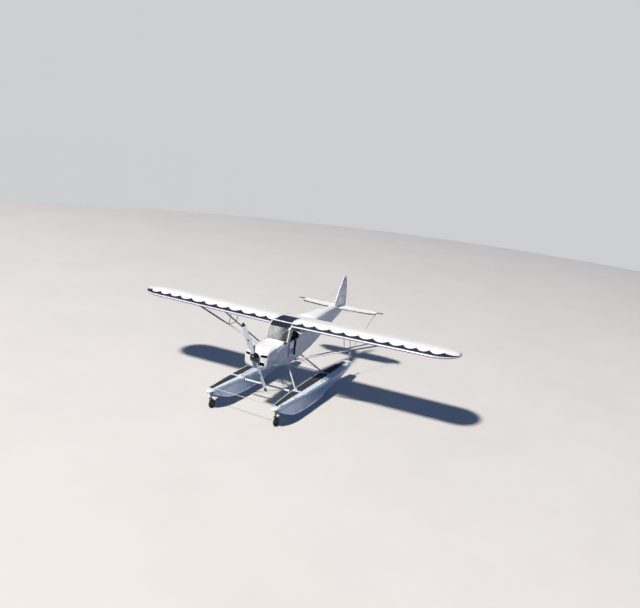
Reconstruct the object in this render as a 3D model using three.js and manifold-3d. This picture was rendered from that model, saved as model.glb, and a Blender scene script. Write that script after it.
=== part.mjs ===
// High-wing two-seat floatplane on amphibious floats.
// Millimetres.  X points to the aircraft's left wing, Y aft and Z up.
// Sizes below are measured from the middle of the wing's leading edge.  The outer group
// then sets the wheels on Z = 0 with the origin under the middle of the bounding box.
import * as THREE from 'three';
import { mergeVertices } from 'three/addons/utils/BufferGeometryUtils.js';
import Module from 'manifold-3d';

const wasm = await Module();
wasm.setup();

// Driving dimensions.
const GROUND_Z = -2340;
const BOX_MIDDLE_Y = 1503.8;
const SEAM = 0.4;
const MOVE_GAP = 8;
const PIN_GAP = 1;
const LUG_GAP = 3;
const SIDES = [{ name: 'left', sign: 1 }, { name: 'right', sign: -1 }];

const CABIN_HALF = 360;
const WALL = 25;
const INNER_HALF = CABIN_HALF - WALL;
const FIREWALL_Y = -760;
const CABIN_END_Y = 1650;

const WING = {
  root: CABIN_HALF + SEAM, straight: 4650, tip: 5370, chord: 1600,
  camber: 0.04, camberAt: 0.4, thickness: 0.12, dihedral: 0.7, incidence: 2,
  hingeAt: 0.745, steps: 11,
};
const FLAP = { inner: 480, outer: 2580, hinges: [620, 1530, 2440] };
const AILERON = { inner: 2620, outer: 4880, hinges: [2760, 3750, 4740] };

const LIFT = { footY: 505, footZ: -1145, topX: 3110, frontY: 235, rearY: 1020, juryX: 2000 };

const TAIL = {
  hingeY: 4790, planeZ: -255, thick: 34, rootX: 75, droop: 15,
  finHingeY: 4838, finThick: 30,
};

const FLOAT = { middle: 1060, deckZ: -1722, walk: 70, bowY: -2060, sternY: 3290 };
const FRONT_BAY = { y: -540, inboard: 115, fuselageY: 80, fuselageZ: -1168 };
const REAR_BAY = { y: 1520, inboard: 200, fuselageY: 930, fuselageZ: -1072 };

const MAIN_WHEEL = { y: 1090, radius: 180, width: 110, rim: 85 };
const NOSE_WHEEL = { y: -1880, radius: 125, width: 86, rim: 62, stemY: -1930 };

const HUB = { y: -1485, z: -668, lean: 27, blade: 1040 };

const FINISHES = {
  whitePaint: { color: '#eceeec', roughness: 0.35, metalness: 0 },
  charcoalPaint: { color: '#2b2f3d', roughness: 0.3, metalness: 0 },
  hullPaint: { color: '#dfe6ec', roughness: 0.3, metalness: 0.1 },
  strutPaint: { color: '#c9ced4', roughness: 0.4, metalness: 0.2 },
  darkPlastic: { color: '#22252b', roughness: 0.6, metalness: 0 },
  clearPane: { color: '#9aa3a8', roughness: 0.1, metalness: 0 },
  castMetal: { color: '#6f7276', roughness: 0.6, metalness: 0.6 },
  bladePaint: { color: '#dcdfe2', roughness: 0.35, metalness: 0.3 },
  tyreRubber: { color: '#1c1b1a', roughness: 0.9, metalness: 0 },
  seatCloth: { color: '#4a4744', roughness: 0.9, metalness: 0 },
  bumperRubber: { color: '#e6e2d8', roughness: 0.7, metalness: 0 },
};

const radians = THREE.MathUtils.degToRad;
const at = (x, y, z) => new THREE.Vector3(x, y, z);
const lerp = THREE.MathUtils.lerp;

// Solids and meshes.
function toSolid(geometry) {
  const bare = new THREE.BufferGeometry();
  bare.setAttribute('position', geometry.getAttribute('position').clone());
  if (geometry.index) bare.setIndex(geometry.index.clone());
  const merged = mergeVertices(bare, 1e-3);
  const mesh = new wasm.Mesh({
    numProp: 3,
    vertProperties: new Float32Array(merged.attributes.position.array),
    triVerts: new Uint32Array(merged.index.array),
  });
  return new wasm.Manifold(mesh);
}

function toGeometry(body) {
  const mesh = body.getMesh();
  const spots = new Float32Array(mesh.vertProperties);
  const geometry = new THREE.BufferGeometry();
  geometry.setAttribute('position', new THREE.BufferAttribute(spots, 3));
  geometry.setIndex(new THREE.BufferAttribute(new Uint32Array(mesh.triVerts), 1));
  return geometry;
}

function join(...geometries) {
  return toGeometry(geometries.map(toSolid).reduce((sum, next) => sum.add(next)));
}

function cut(geometry, ...tools) {
  const body = tools.map(toSolid).reduce((rest, tool) => rest.subtract(tool), toSolid(geometry));
  return toGeometry(body);
}

function overlap(geometry, tool) {
  return toGeometry(toSolid(geometry).intersect(toSolid(tool)));
}

function mirrored(geometry) {
  const copy = geometry.clone();
  copy.scale(-1, 1, 1);
  const index = copy.index.array;
  for (let i = 0; i < index.length; i += 3) {
    const first = index[i];
    index[i] = index[i + 1];
    index[i + 1] = first;
  }
  return copy;
}

function signedVolume(points, faces) {
  let six = 0;
  for (let i = 0; i < faces.length; i += 3) {
    const [a, b, c] = [points[faces[i]], points[faces[i + 1]], points[faces[i + 2]]];
    six += a.dot(b.clone().cross(c));
  }
  return six / 6;
}

function closedBody(points, faces) {
  if (signedVolume(points, faces) < 0) faces.reverse();
  const spots = points.flatMap((p) => p.toArray());
  const geometry = new THREE.BufferGeometry();
  geometry.setAttribute('position', new THREE.Float32BufferAttribute(spots, 3));
  geometry.setIndex(faces);
  return geometry;
}

// The faces that join each ring of points to the next.
function ringFaces(ringCount, count) {
  const faces = [];
  for (let r = 0; r < ringCount - 1; r++) {
    for (let i = 0; i < count; i++) {
      const a = r * count + i;
      const b = r * count + (i + 1) % count;
      faces.push(a, b, a + count, b, b + count, a + count);
    }
  }
  return faces;
}

// A closed body through rings of points.  Each end is closed by a fan about its middle.
function loft(rings) {
  const count = rings[0].length;
  const points = rings.flat().map((p) => p.clone());
  const faces = ringFaces(rings.length, count);
  for (const r of [0, rings.length - 1]) {
    const middle = rings[r].reduce((sum, p) => sum.add(p), at(0, 0, 0)).divideScalar(count);
    const centre = points.push(middle) - 1;
    for (let i = 0; i < count; i++) {
      const a = r * count + i;
      const b = r * count + (i + 1) % count;
      if (r === 0) faces.push(centre, b, a);
      else faces.push(centre, a, b);
    }
  }
  return closedBody(points, faces);
}

// A closed body whose two end rings are flat outlines of any shape in X and Z.
function loftFlat(rings) {
  const count = rings[0].length;
  const flat = rings[0].map((p) => new THREE.Vector2(p.x, p.z));
  const faces = ringFaces(rings.length, count);
  const last = (rings.length - 1) * count;
  const clockwise = THREE.ShapeUtils.isClockWise(flat);
  for (const [a, b, c] of THREE.ShapeUtils.triangulateShape(flat, [])) {
    const [p, q] = clockwise ? [c, b] : [b, c];
    faces.push(a, q, p, last + a, last + p, last + q);
  }
  return closedBody(rings.flat(), faces);
}

// Plates drawn in one plane and pulled along the third axis.  An outline runs anticlockwise.
function outline(points, holes = []) {
  const path = (pairs) => {
    const spots = pairs.map(([u, v]) => new THREE.Vector2(u, v));
    return THREE.ShapeUtils.isClockWise(spots) ? spots.reverse() : spots;
  };
  const shape = new THREE.Shape(path(points));
  for (const hole of holes) shape.holes.push(new THREE.Path(path(hole)));
  return shape;
}

function pulled(shape, depth, bevel) {
  return new THREE.ExtrudeGeometry(shape, {
    depth: depth - 2 * bevel, bevelEnabled: bevel > 0, bevelThickness: bevel, bevelSize: bevel,
    bevelOffset: -bevel, bevelSegments: 2,
  });
}

function sidePlate(points, x0, x1, holes = [], bevel = 0) {
  const geometry = pulled(outline(points, holes), x1 - x0, bevel);
  const axes = new THREE.Matrix4().makeBasis(at(0, 1, 0), at(0, 0, 1), at(1, 0, 0));
  geometry.applyMatrix4(axes);
  geometry.translate(x0 + bevel, 0, 0);
  return toGeometry(toSolid(geometry));
}

function levelPlate(points, z0, z1, bevel = 0) {
  const geometry = pulled(outline(points), z1 - z0, bevel);
  geometry.translate(0, 0, z0 + bevel);
  return toGeometry(toSolid(geometry));
}

function block(x0, x1, y0, y1, z0, z1) {
  const geometry = new THREE.BoxGeometry(x1 - x0, y1 - y0, z1 - z0);
  geometry.translate((x0 + x1) / 2, (y0 + y1) / 2, (z0 + z1) / 2);
  return toGeometry(toSolid(geometry));
}

function rod(a, b, radius, sides = 12) {
  const span = b.clone().sub(a);
  const geometry = new THREE.CylinderGeometry(radius, radius, span.length(), sides);
  geometry.applyQuaternion(new THREE.Quaternion().setFromUnitVectors(at(0, 1, 0), span.normalize()));
  const middle = a.clone().add(b).divideScalar(2);
  geometry.translate(middle.x, middle.y, middle.z);
  return toGeometry(toSolid(geometry));
}

// A streamlined strut: an ellipse with its long axis fore and aft.
function strut(a, b, chord, thick, sides = 12) {
  const along = b.clone().sub(a).normalize();
  const across = along.clone().cross(at(0, 1, 0)).normalize();
  const ring = (end) => Array.from({ length: sides }, (_, i) => {
    const turn = (2 * Math.PI * i) / sides;
    return end.clone().add(at(0, 1, 0).multiplyScalar(Math.cos(turn) * chord / 2))
      .add(across.clone().multiplyScalar(Math.sin(turn) * thick / 2));
  });
  return loft([ring(a), ring(b)]);
}

// A turned body whose axis lies along X or Y.
function turned(profile, axis, segments = 28) {
  const line = profile.map(([r, h]) => new THREE.Vector2(r, h));
  const geometry = new THREE.LatheGeometry(line, segments);
  if (axis === 'x') geometry.rotateZ(-Math.PI / 2);
  return toGeometry(toSolid(geometry));
}

// Turns a shape about a line parallel to one axis.
function swung(geometry, axis, degrees, pivot) {
  const copy = geometry.clone();
  copy.translate(-pivot.x, -pivot.y, -pivot.z);
  if (axis === 'y') copy.rotateY(radians(degrees));
  if (axis === 'x') copy.rotateX(radians(degrees));
  if (axis === 'z') copy.rotateZ(radians(degrees));
  copy.translate(pivot.x, pivot.y, pivot.z);
  return copy;
}

// Scene graph.
const craft = new THREE.Group();
craft.position.set(0, -BOX_MIDDLE_Y, -GROUND_Z);

function addPiece(name, geometry, finish, place = at(0, 0, 0), parent = craft) {
  const shape = geometry.clone();
  shape.computeVertexNormals();
  const mesh = new THREE.Mesh(shape, new THREE.MeshStandardMaterial(FINISHES[finish]));
  mesh.name = name;
  mesh.position.copy(place);
  parent.add(mesh);
  return mesh;
}

function addPair(stem, geometry, finish, place = at(0, 0, 0)) {
  addPiece(`${stem}_left`, geometry, finish, place);
  addPiece(`${stem}_right`, mirrored(geometry), finish, at(-place.x, place.y, place.z));
}

// Wing.
function surfaceHeight(fraction, upper) {
  const { camber: m, camberAt: p, thickness: t } = WING;
  const half = 5 * t * (0.2969 * Math.sqrt(fraction) - 0.126 * fraction - 0.3516 * fraction ** 2
    + 0.2843 * fraction ** 3 - 0.1015 * fraction ** 4);
  const line = fraction < p
    ? (m / p ** 2) * (2 * p * fraction - fraction ** 2)
    : (m / (1 - p) ** 2) * (1 - 2 * p + 2 * p * fraction - fraction ** 2);
  return line + (upper ? half : -half);
}

function wingRise(x) {
  return (Math.abs(x) - WING.root) * Math.tan(radians(WING.dihedral));
}

function wingPoint(x, lead, chord, fraction, upper) {
  const y = lead + chord * fraction;
  const z = chord * surfaceHeight(fraction, upper) - y * Math.tan(radians(WING.incidence));
  return at(x, y, z + wingRise(x));
}

function wingRing(x, lead, chord) {
  const ring = [];
  const fraction = (i) => 0.5 * (1 - Math.cos(Math.PI * i / WING.steps));
  for (let i = WING.steps; i >= 0; i--) ring.push(wingPoint(x, lead, chord, fraction(i), true));
  for (let i = 1; i <= WING.steps; i++) ring.push(wingPoint(x, lead, chord, fraction(i), false));
  return ring;
}

function wingBody() {
  const rings = [wingRing(WING.root, 0, WING.chord)];
  for (const turn of [0, 22, 42, 58, 71, 81, 87]) {
    const x = WING.straight + (WING.tip - WING.straight) * Math.sin(radians(turn));
    const chord = WING.chord * Math.cos(radians(turn));
    rings.push(wingRing(x, (WING.chord - chord) / 2, chord));
  }
  return loft(rings);
}

function hingePoint(x) {
  const top = wingPoint(x, 0, WING.chord, WING.hingeAt, true);
  const bottom = wingPoint(x, 0, WING.chord, WING.hingeAt, false);
  return top.add(bottom).divideScalar(2);
}

const HINGE_THICK = surfaceHeight(WING.hingeAt, true) - surfaceHeight(WING.hingeAt, false);
const HINGE_RADIUS = WING.chord * HINGE_THICK / 2 - 1.5;

function behindHinge(inner, outer) {
  return block(inner, outer, hingePoint(inner).y, WING.chord + 50, -400, 400);
}

// A lug that fills the gap before a moving surface's round nose, down to a pin's clearance.
function hingeLug(x) {
  const width = 24;
  const ends = [hingePoint(x - width / 2), hingePoint(x + width / 2)];
  const outer = rod(...ends, HINGE_RADIUS + MOVE_GAP + 3, 28);
  const inner = rod(hingePoint(x - width), hingePoint(x + width), HINGE_RADIUS + LUG_GAP, 28);
  const front = hingePoint(x).y - HINGE_RADIUS * 0.84;
  return cut(outer, inner, block(x - width, x + width, front, front + 400, -400, 400));
}

function surfaceCut({ inner, outer }) {
  const [a, b] = [inner - MOVE_GAP, outer + MOVE_GAP];
  return [rod(hingePoint(a), hingePoint(b), HINGE_RADIUS + MOVE_GAP, 28), behindHinge(a, b)];
}

function movingSurface(body, { inner, outer }) {
  const nose = rod(hingePoint(inner), hingePoint(outer), HINGE_RADIUS, 28);
  const behind = overlap(body, behindHinge(inner, outer));
  return join(behind, nose);
}

const fullWing = wingBody();
const fixedWing = cut(fullWing, ...surfaceCut(FLAP), ...surfaceCut(AILERON));
const wingLugs = [...FLAP.hinges, ...AILERON.hinges].map(hingeLug);
addPair('wing', join(fixedWing, ...wingLugs), 'whitePaint');
addPair('flap', movingSurface(fullWing, FLAP), 'whitePaint');
addPair('aileron', movingSurface(fullWing, AILERON), 'whitePaint');

// Lift struts: a V from the cabin's lower rail to the spars, with jury struts at mid span.
function lowerSkin(x, y) {
  return wingPoint(x, 0, WING.chord, y / WING.chord, false).z;
}

function liftStruts() {
  const foot = at(CABIN_HALF + 25, LIFT.footY, LIFT.footZ);
  const top = (y) => at(LIFT.topX, y, lowerSkin(LIFT.topX, y) + 12);
  const front = strut(foot, top(LIFT.frontY), 88, 40);
  const rear = strut(foot, top(LIFT.rearY), 70, 34);
  const share = (LIFT.juryX - foot.x) / (LIFT.topX - foot.x);
  const onFront = foot.clone().lerp(top(LIFT.frontY), share);
  const onRear = foot.clone().lerp(top(LIFT.rearY), share);
  const above = (p) => at(p.x - 60, p.y, lowerSkin(p.x, p.y) + 12);
  const juryFront = strut(onFront, above(onFront), 32, 18, 8);
  const juryRear = strut(onRear, above(onRear), 32, 18, 8);
  const link = rod(onFront, onRear, 11, 8);
  const { footY, footZ } = LIFT;
  const lug = block(CABIN_HALF + SEAM, CABIN_HALF + 50, footY - 45, footY + 45, footZ - 38, footZ + 32);
  const whole = join(front, rear, juryFront, juryRear, link, lug);
  const wingBelow = fullWing.clone().translate(0, 0, -SEAM);
  const cabinSide = block(0, CABIN_HALF + SEAM, -500, 2500, -1500, -400);
  return cut(whole, fullWing, wingBelow, cabinSide);
}
addPair('lift_struts', liftStruts(), 'strutPaint');

// Cabin walls, floor and roof.  Outlines are pairs of Y and Z.
const CABIN_BOTTOM = [
  [FIREWALL_Y, -1040], [-300, -1125], [100, -1170], [560, -1140], [CABIN_END_Y, -955],
];
const ROOF_LINE = [[-60, -50], [110, 62], [480, 108], [960, 74], [1300, 8], [CABIN_END_Y, -95]];
// The deck between the firewall and the cabin: its shoulder, its crown's rise and its fullness.
const DECK = [
  { y: FIREWALL_Y, shoulder: -597, rise: 167, square: 7 },
  { y: -290, shoulder: -480, rise: 72, square: 4.5 },
  { y: -185, shoulder: -473, rise: 66, square: 4 },
];
const DECK_END_Y = DECK[DECK.length - 1].y;
const SHOULDER = DECK.map(({ y, shoulder }) => [y, shoulder]);
const FLOOR_THICK = 22;
const SILL_Z = -470;
const HEAD_Z = -112;
const STEP_Z = -975;
const UPPER_DOOR = { headFrontY: 165, sillFrontY: -45, backY: 640 };
const LOWER_DOOR = { frontY: 225, backY: 490 };

const sideOutline = [...CABIN_BOTTOM, ...[...ROOF_LINE].reverse(), ...[...SHOULDER].reverse()];

const upperDoorway = [
  [UPPER_DOOR.headFrontY, HEAD_Z], [UPPER_DOOR.backY, HEAD_Z], [UPPER_DOOR.backY, SILL_Z],
  [UPPER_DOOR.sillFrontY, SILL_Z],
];
const lowerDoorway = [
  [LOWER_DOOR.frontY, SILL_Z], [LOWER_DOOR.backY, SILL_Z], [LOWER_DOOR.backY, STEP_Z],
  [LOWER_DOOR.frontY, STEP_Z],
];
const doorway = [
  ...upperDoorway.slice(0, 3), ...lowerDoorway.slice(1), lowerDoorway[0], upperDoorway[3],
];
const quarterLight = [[-52, HEAD_Z], [132, HEAD_Z], [-64, -450], [-150, -450]];
const QUARTER_FIT = 0.99;

function quarterPane() {
  const middle = [0, 1].map((i) => quarterLight.reduce((sum, p) => sum + p[i], 0) / 4);
  const outline = quarterLight.map((p) => p.map((v, i) => lerp(middle[i], v, QUARTER_FIT)));
  return sidePlate(outline, CABIN_HALF - 14, CABIN_HALF - 9);
}

// The side skins meet at the door's back post.
function sideSkins() {
  const wall = sidePlate(sideOutline, INNER_HALF, CABIN_HALF, [doorway, quarterLight]);
  const post = UPPER_DOOR.backY;
  const room = (y0, y1) => block(0, CABIN_HALF + 1, y0, y1, -1300, 300);
  return {
    forward: overlap(wall, room(FIREWALL_Y - 1, post - SEAM)),
    aft: overlap(wall, room(post, CABIN_END_Y + 1)),
  };
}
const { forward: forwardSkin, aft: aftSkin } = sideSkins();
addPair('cabin_side', forwardSkin, 'whitePaint');
addPair('cabin_side_rear', aftSkin, 'whitePaint');
addPair('quarter_pane', quarterPane(), 'clearPane');

function bentSheet(line, thick, half) {
  const back = [...line].reverse().map(([y, z]) => [y, z + thick]);
  return sidePlate([...line, ...back], -half, half);
}
const INSIDE = INNER_HALF - SEAM;
const FIREWALL_THICK = 20;
const [[, noseBottomZ], ...restOfBottom] = CABIN_BOTTOM;
const floorLine = [[FIREWALL_Y + FIREWALL_THICK + SEAM, noseBottomZ], ...restOfBottom];
addPiece('cabin_floor', bentSheet(floorLine, FLOOR_THICK, INSIDE), 'whitePaint');

// Roof between the wing roots, with the skylight's opening and pane.
const ROOF_TOP = [
  [118, 80], [165, 94], [480, 122], [958, 88], [1300, 21], [1649, -82],
];
const ROOF_SKIN = 16;
const PANE = { drop: 4, thick: 6 };
const SKYLIGHT = { frontY: 225, backY: 740, half: 265 };

function skylightGap(grow) {
  const { frontY, backY, half } = SKYLIGHT;
  return block(-half - grow, half + grow, frontY - grow, backY + grow, 0, 200);
}

function roofSheet(lower, thick) {
  const line = ROOF_TOP.map(([y, z]) => [y, z - lower - thick]);
  return bentSheet(line, thick, INSIDE);
}
addPiece('roof', cut(roofSheet(0, ROOF_SKIN), skylightGap(0)), 'whitePaint');
const skylight = overlap(roofSheet(PANE.drop, PANE.thick), skylightGap(-SEAM));
addPiece('skylight', skylight, 'clearPane');

// Deck between the firewall and the cabin.  It runs on under the windshield as a ledge.
function deckHeight(x, y) {
  const next = Math.max(1, DECK.findIndex((station) => station.y >= y));
  const [a, b] = [DECK[next - 1], DECK[next]];
  const share = (y - a.y) / (b.y - a.y);
  const reach = Math.abs(x) / CABIN_HALF;
  const crown = 1 - reach ** lerp(a.square, b.square, share);
  return lerp(a.shoulder, b.shoulder, share) + lerp(a.rise, b.rise, share) * crown;
}

const DECK_SKIN = 14;
const DECK_FLANK = 16;
const DECK_STATIONS = [1, 0.96, 0.88, 0.72, 0.45, 0.15, -0.15, -0.45, -0.72, -0.88, -0.96, -1];

function deckLine(y, rise) {
  return DECK_STATIONS.map((s) => at(s * CABIN_HALF, y, deckHeight(s * CABIN_HALF, y) + rise));
}

// The deck's inner face, and solids that fill the space under either face.
function deckLining(y, gap) {
  const narrower = 1 - (DECK_FLANK + gap) / CABIN_HALF;
  return deckLine(y, -DECK_SKIN - gap).map((p) => at(p.x * narrower, y, p.z));
}

function filledBelow(line, low) {
  const half = line[0].x;
  return [...line, at(-half, line[0].y, low), at(half, line[0].y, low)];
}

function noseDeck() {
  const ring = (y) => [...deckLine(y, SEAM), ...deckLining(y, -SEAM).reverse()];
  const shell = loftFlat(DECK.map(({ y }) => ring(y)));
  const below = [...SHOULDER, [DECK_END_Y, -900], [FIREWALL_Y, -900]];
  const overSides = [INNER_HALF - SEAM, -CABIN_HALF - 5].map((x) => {
    const strip = sidePlate(below, x, x + WALL + 5 + SEAM);
    strip.translate(0, 0, SEAM);
    return strip;
  });
  return cut(shell, ...overSides);
}
addPiece('nose_deck', noseDeck(), 'whitePaint');

function firewall() {
  const [front, back] = [FIREWALL_Y, FIREWALL_Y + FIREWALL_THICK];
  const low = noseBottomZ + 2;
  const arch = loftFlat([front, back].map((y) => filledBelow(deckLining(y, 2 * SEAM), low)));
  return overlap(arch, block(-INSIDE, INSIDE, front - 1, back + 1, low - 1, 0));
}
addPiece('firewall', firewall(), 'castMetal');

// Windshield: from a foot on the deck, straight across and turned back at both ends, to a brow
// ahead of the wing's leading edge, and from there back to the roof.
const WINDSHIELD = {
  footY: -302, footBow: 98, bowFrom: 0.6, browY: -84, browZ: -44, headY: 108, headZ: 72,
  half: INNER_HALF - 6, thick: 6,
};
const WINDSHIELD_STATIONS = [-1, -0.95, -0.88, -0.78, -0.6, 0.6, 0.78, 0.88, 0.95, 1];

function windshield() {
  const { footY, footBow, bowFrom, browY, browZ, headY, headZ, half, thick } = WINDSHIELD;
  const pane = (edges) => loft(WINDSHIELD_STATIONS.map((s) => {
    const [low, high] = edges(s, s * half);
    return [low, high, high.clone().add(at(0, thick, 0)), low.clone().add(at(0, thick, 0))];
  }));
  const brow = (x) => at(x, browY, browZ);
  const lower = pane((s, x) => {
    const turn = (Math.abs(s) - bowFrom) / (1 - bowFrom);
    const onDeck = footY + footBow * turn ** 3;
    const beside = turn > 0 ? x : 0;
    return [at(x, onDeck, deckHeight(beside, onDeck)).lerp(brow(x), -0.25), brow(x)];
  });
  const upper = pane((s, x) => [brow(x), at(x, headY, headZ)]);
  const bed = loftFlat(DECK.map(({ y }) => filledBelow(deckLine(y, 2 * SEAM), -900)));
  return cut(join(lower, upper), bed);
}
addPiece('windshield', windshield(), 'clearPane');

const PANEL = { y: -235, thick: 22, low: -720, high: -496 };
const panel = block(-INSIDE, INSIDE, PANEL.y, PANEL.y + PANEL.thick, PANEL.low, PANEL.high);
addPiece('instrument_panel', panel, 'darkPlastic');

// Doors.  The left pair stands open and the right pair is shut.
const LEAF = { inner: INNER_HALF + 3, outer: CABIN_HALF - 2, gap: 6, border: 38 };

function inset(points, distance) {
  const cy = points.reduce((s, p) => s + p[0], 0) / points.length;
  const cz = points.reduce((s, p) => s + p[1], 0) / points.length;
  return points.map(([y, z]) => [y - Math.sign(y - cy) * distance, z - Math.sign(z - cz) * distance]);
}

const upperLeaf = inset(upperDoorway, LEAF.gap);
const lowerLeaf = inset(lowerDoorway, LEAF.gap);

const HINGE_X = CABIN_HALF + 7;
const UPPER_HINGE_Z = HEAD_Z + 4;
const LOWER_HINGE_Y = LOWER_DOOR.frontY - 2;
const OPEN = { raised: 88, folded: 178 };

function doorWithPane(stem, leaf, x0, x1, swing) {
  const opening = inset(leaf, LEAF.border);
  const pane = inset(leaf, LEAF.border + SEAM);
  const middle = (x0 + x1) / 2;
  const halfPane = 2.5;
  addPiece(`${stem}_frame`, swing(sidePlate(leaf, x0, x1, [opening])), 'whitePaint');
  addPiece(`${stem}_pane`, swing(sidePlate(pane, middle - halfPane, middle + halfPane)), 'clearPane');
}

const raise = (shape) => swung(shape, 'y', -OPEN.raised, at(HINGE_X, 0, UPPER_HINGE_Z));
const fold = (shape) => swung(shape, 'z', -OPEN.folded, at(HINGE_X, LOWER_HINGE_Y, 0));
const still = (shape) => shape;
doorWithPane('door_left_upper', upperLeaf, LEAF.inner, LEAF.outer, raise);
doorWithPane('door_right_upper', upperLeaf, -LEAF.outer, -LEAF.inner, still);
const leftLower = fold(sidePlate(lowerLeaf, LEAF.inner, LEAF.outer));
const rightLower = sidePlate(lowerLeaf, -LEAF.outer, -LEAF.inner);
addPiece('door_left_lower', leftLower, 'whitePaint');
addPiece('door_right_lower', rightLower, 'whitePaint');

// Seats in tandem: a frame that holds the back, and a cushion.
function floorTop(y) {
  const last = CABIN_BOTTOM.findIndex(([far]) => far > y);
  const [[y0, z0], [y1, z1]] = [CABIN_BOTTOM[last - 1], CABIN_BOTTOM[last]];
  return lerp(z0, z1, (y - y0) / (y1 - y0)) + FLOOR_THICK + SEAM;
}

const SEAT = { half: 200, cushionHalf: 205, depth: 398, low: -930, high: -830, tray: -931 };

function seatFrame(y) {
  return sidePlate([
    [y + 30, floorTop(y + 30)], [y + 440, floorTop(y + 440)], [y + 470, -860], [y + 530, -430],
    [y + 470, -430], [y + 410, -860], [y + 402, SEAT.tray], [y + 30, SEAT.tray],
  ], -SEAT.half, SEAT.half);
}

for (const { name, y } of [{ name: 'front', y: 330 }, { name: 'rear', y: 1080 }]) {
  const { cushionHalf, depth, low, high } = SEAT;
  const cushion = block(-cushionHalf, cushionHalf, y, y + depth, low, high);
  addPiece(`seat_frame_${name}`, seatFrame(y), 'castMetal');
  addPiece(`seat_cushion_${name}`, cushion, 'seatCloth');
}

// Rear fuselage: flat sides, a flat bottom and a rounded back.
// Columns: y, half width, bottom, top of the flat side, crown.
const TAIL_CONE = [
  { y: CABIN_END_Y + SEAM, half: 360, bottom: -955, side: -128, crown: -72 },
  { y: 1950, half: 338, bottom: -907, side: -140, crown: -42 },
  { y: 3000, half: 230, bottom: -738, side: -172, crown: -48 },
  { y: 4000, half: 128, bottom: -577, side: -212, crown: -108 },
  { y: 4400, half: 86, bottom: -512, side: -290, crown: -262 },
  { y: 4815, half: 42, bottom: -445, side: -290, crown: -272 },
];

const ARCH_TURNS = [25, 48, 69, 90, 111, 132, 155];

function coneRing({ y, half, bottom, side, crown }) {
  const right = [at(half - 18, y, bottom), at(half, y, bottom + 30), at(half, y, side)];
  const left = [at(-half, y, side), at(-half, y, bottom + 30), at(18 - half, y, bottom)];
  const arch = ARCH_TURNS.map((turn) => {
    const x = half * Math.cos(radians(turn));
    return at(x, y, side + (crown - side) * Math.sin(radians(turn)));
  });
  return [...right, ...arch, ...left];
}
addPiece('rear_fuselage', loft(TAIL_CONE.map(coneRing)), 'whitePaint');

// Engine cowling: a squarish tube that rounds into the nose, open at the back.
const COWL = [
  { y: FIREWALL_Y - SEAM, half: 358, top: -430, bottom: -1040, square: 4.4 },
  { y: -1000, half: 368, top: -437, bottom: -1044, square: 4.2 },
  { y: -1200, half: 379, top: -457, bottom: -1044, square: 4 },
  { y: -1320, half: 382, top: -486, bottom: -1036, square: 3.8 },
  { y: -1390, half: 362, top: -528, bottom: -1006, square: 3.6 },
  { y: -1425, half: 296, top: -584, bottom: -950, square: 3.4 },
];
const COWL_SKIN = 14;

function squareRing(y, half, top, bottom, square, sides = 28) {
  return Array.from({ length: sides }, (_, i) => {
    const turn = (2 * Math.PI * (i + 0.5)) / sides;
    const bend = (v) => Math.sign(v) * Math.abs(v) ** (2 / square);
    const z = (top + bottom) / 2 + ((top - bottom) / 2) * bend(Math.sin(turn));
    return at(half * bend(Math.cos(turn)), y, z);
  });
}

function cowling() {
  const outer = loft(COWL.map((s) => squareRing(s.y, s.half, s.top, s.bottom, s.square)));
  const innerY = (s, i) => {
    if (i === 0) return FIREWALL_Y + 5;
    return s.y + (i === COWL.length - 1 ? COWL_SKIN : i * 2);
  };
  const inner = loft(COWL.map((s, i) => {
    const [top, bottom] = [s.top - COWL_SKIN, s.bottom + COWL_SKIN];
    return squareRing(innerY(s, i), s.half - COWL_SKIN, top, bottom, s.square);
  }));
  const inlets = [1, -1].map((sign) => {
    const shape = block(165, 352, -1450, -1250, -636, -580);
    return sign > 0 ? shape : mirrored(shape);
  });
  const scoop = block(155, 292, -1450, -1280, -882, -802);
  const shaftHole = rod(at(0, -1450, HUB.z), at(0, -1350, HUB.z), 70, 20);
  const outlet = block(-210, 210, -850, -700, -1070, -1000);
  return cut(outer, inner, ...inlets, scoop, shaftHole, outlet);
}
addPiece('cowling', cowling(), 'whitePaint');
const ENGINE = { half: 245, front: -1240, back: -790, low: -870, high: -612, mount: 120 };

function engineBlock() {
  const { half, front, back, low, high, mount } = ENGINE;
  const bed = block(-mount, mount, back - 10, FIREWALL_Y - SEAM, low + 60, high - 30);
  return join(block(-half, half, front, back, low, high), bed);
}
addPiece('engine_block', engineBlock(), 'castMetal');

// Propeller and spinner, turned about the shaft.  Columns: radius, chord, thickness, pitch.
const BLADE = [
  { r: 40, chord: 70, thick: 60, pitch: 50 },
  { r: 130, chord: 92, thick: 44, pitch: 46 },
  { r: 300, chord: 134, thick: 26, pitch: 35 },
  { r: 560, chord: 150, thick: 17, pitch: 25 },
  { r: 820, chord: 134, thick: 11, pitch: 19 },
  { r: 980, chord: 104, thick: 8, pitch: 15 },
  { r: HUB.blade, chord: 46, thick: 6, pitch: 13 },
];

function bladeRing({ r, chord, thick, pitch }) {
  const count = 12;
  const p = radians(pitch);
  return Array.from({ length: count }, (_, i) => {
    const turn = (2 * Math.PI * i) / count;
    const u = (chord / 2) * Math.cos(turn);
    const v = (thick / 2) * Math.sin(turn);
    return at(u * Math.cos(p) - v * Math.sin(p), u * Math.sin(p) + v * Math.cos(p), r);
  });
}

const HUB_BAR = { radius: 72, half: 48, shaft: 34 };

function propeller() {
  const upper = loft(BLADE.map(bladeRing));
  const lower = swung(upper, 'y', 180, at(0, 0, 0));
  const hub = rod(at(0, -HUB_BAR.half, 0), at(0, HUB_BAR.half, 0), HUB_BAR.radius, 24);
  const shaftEnd = ENGINE.front - HUB.y - PIN_GAP;
  const shaft = rod(at(0, HUB_BAR.half - 8, 0), at(0, shaftEnd, 0), HUB_BAR.shaft, 16);
  return join(upper, lower, hub, shaft);
}

const SPINNER_PROFILE = [
  [0, -50], [132, -50], [135, -20], [130, 22], [113, 72], [82, 120], [42, 152], [0, 164],
];

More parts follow.
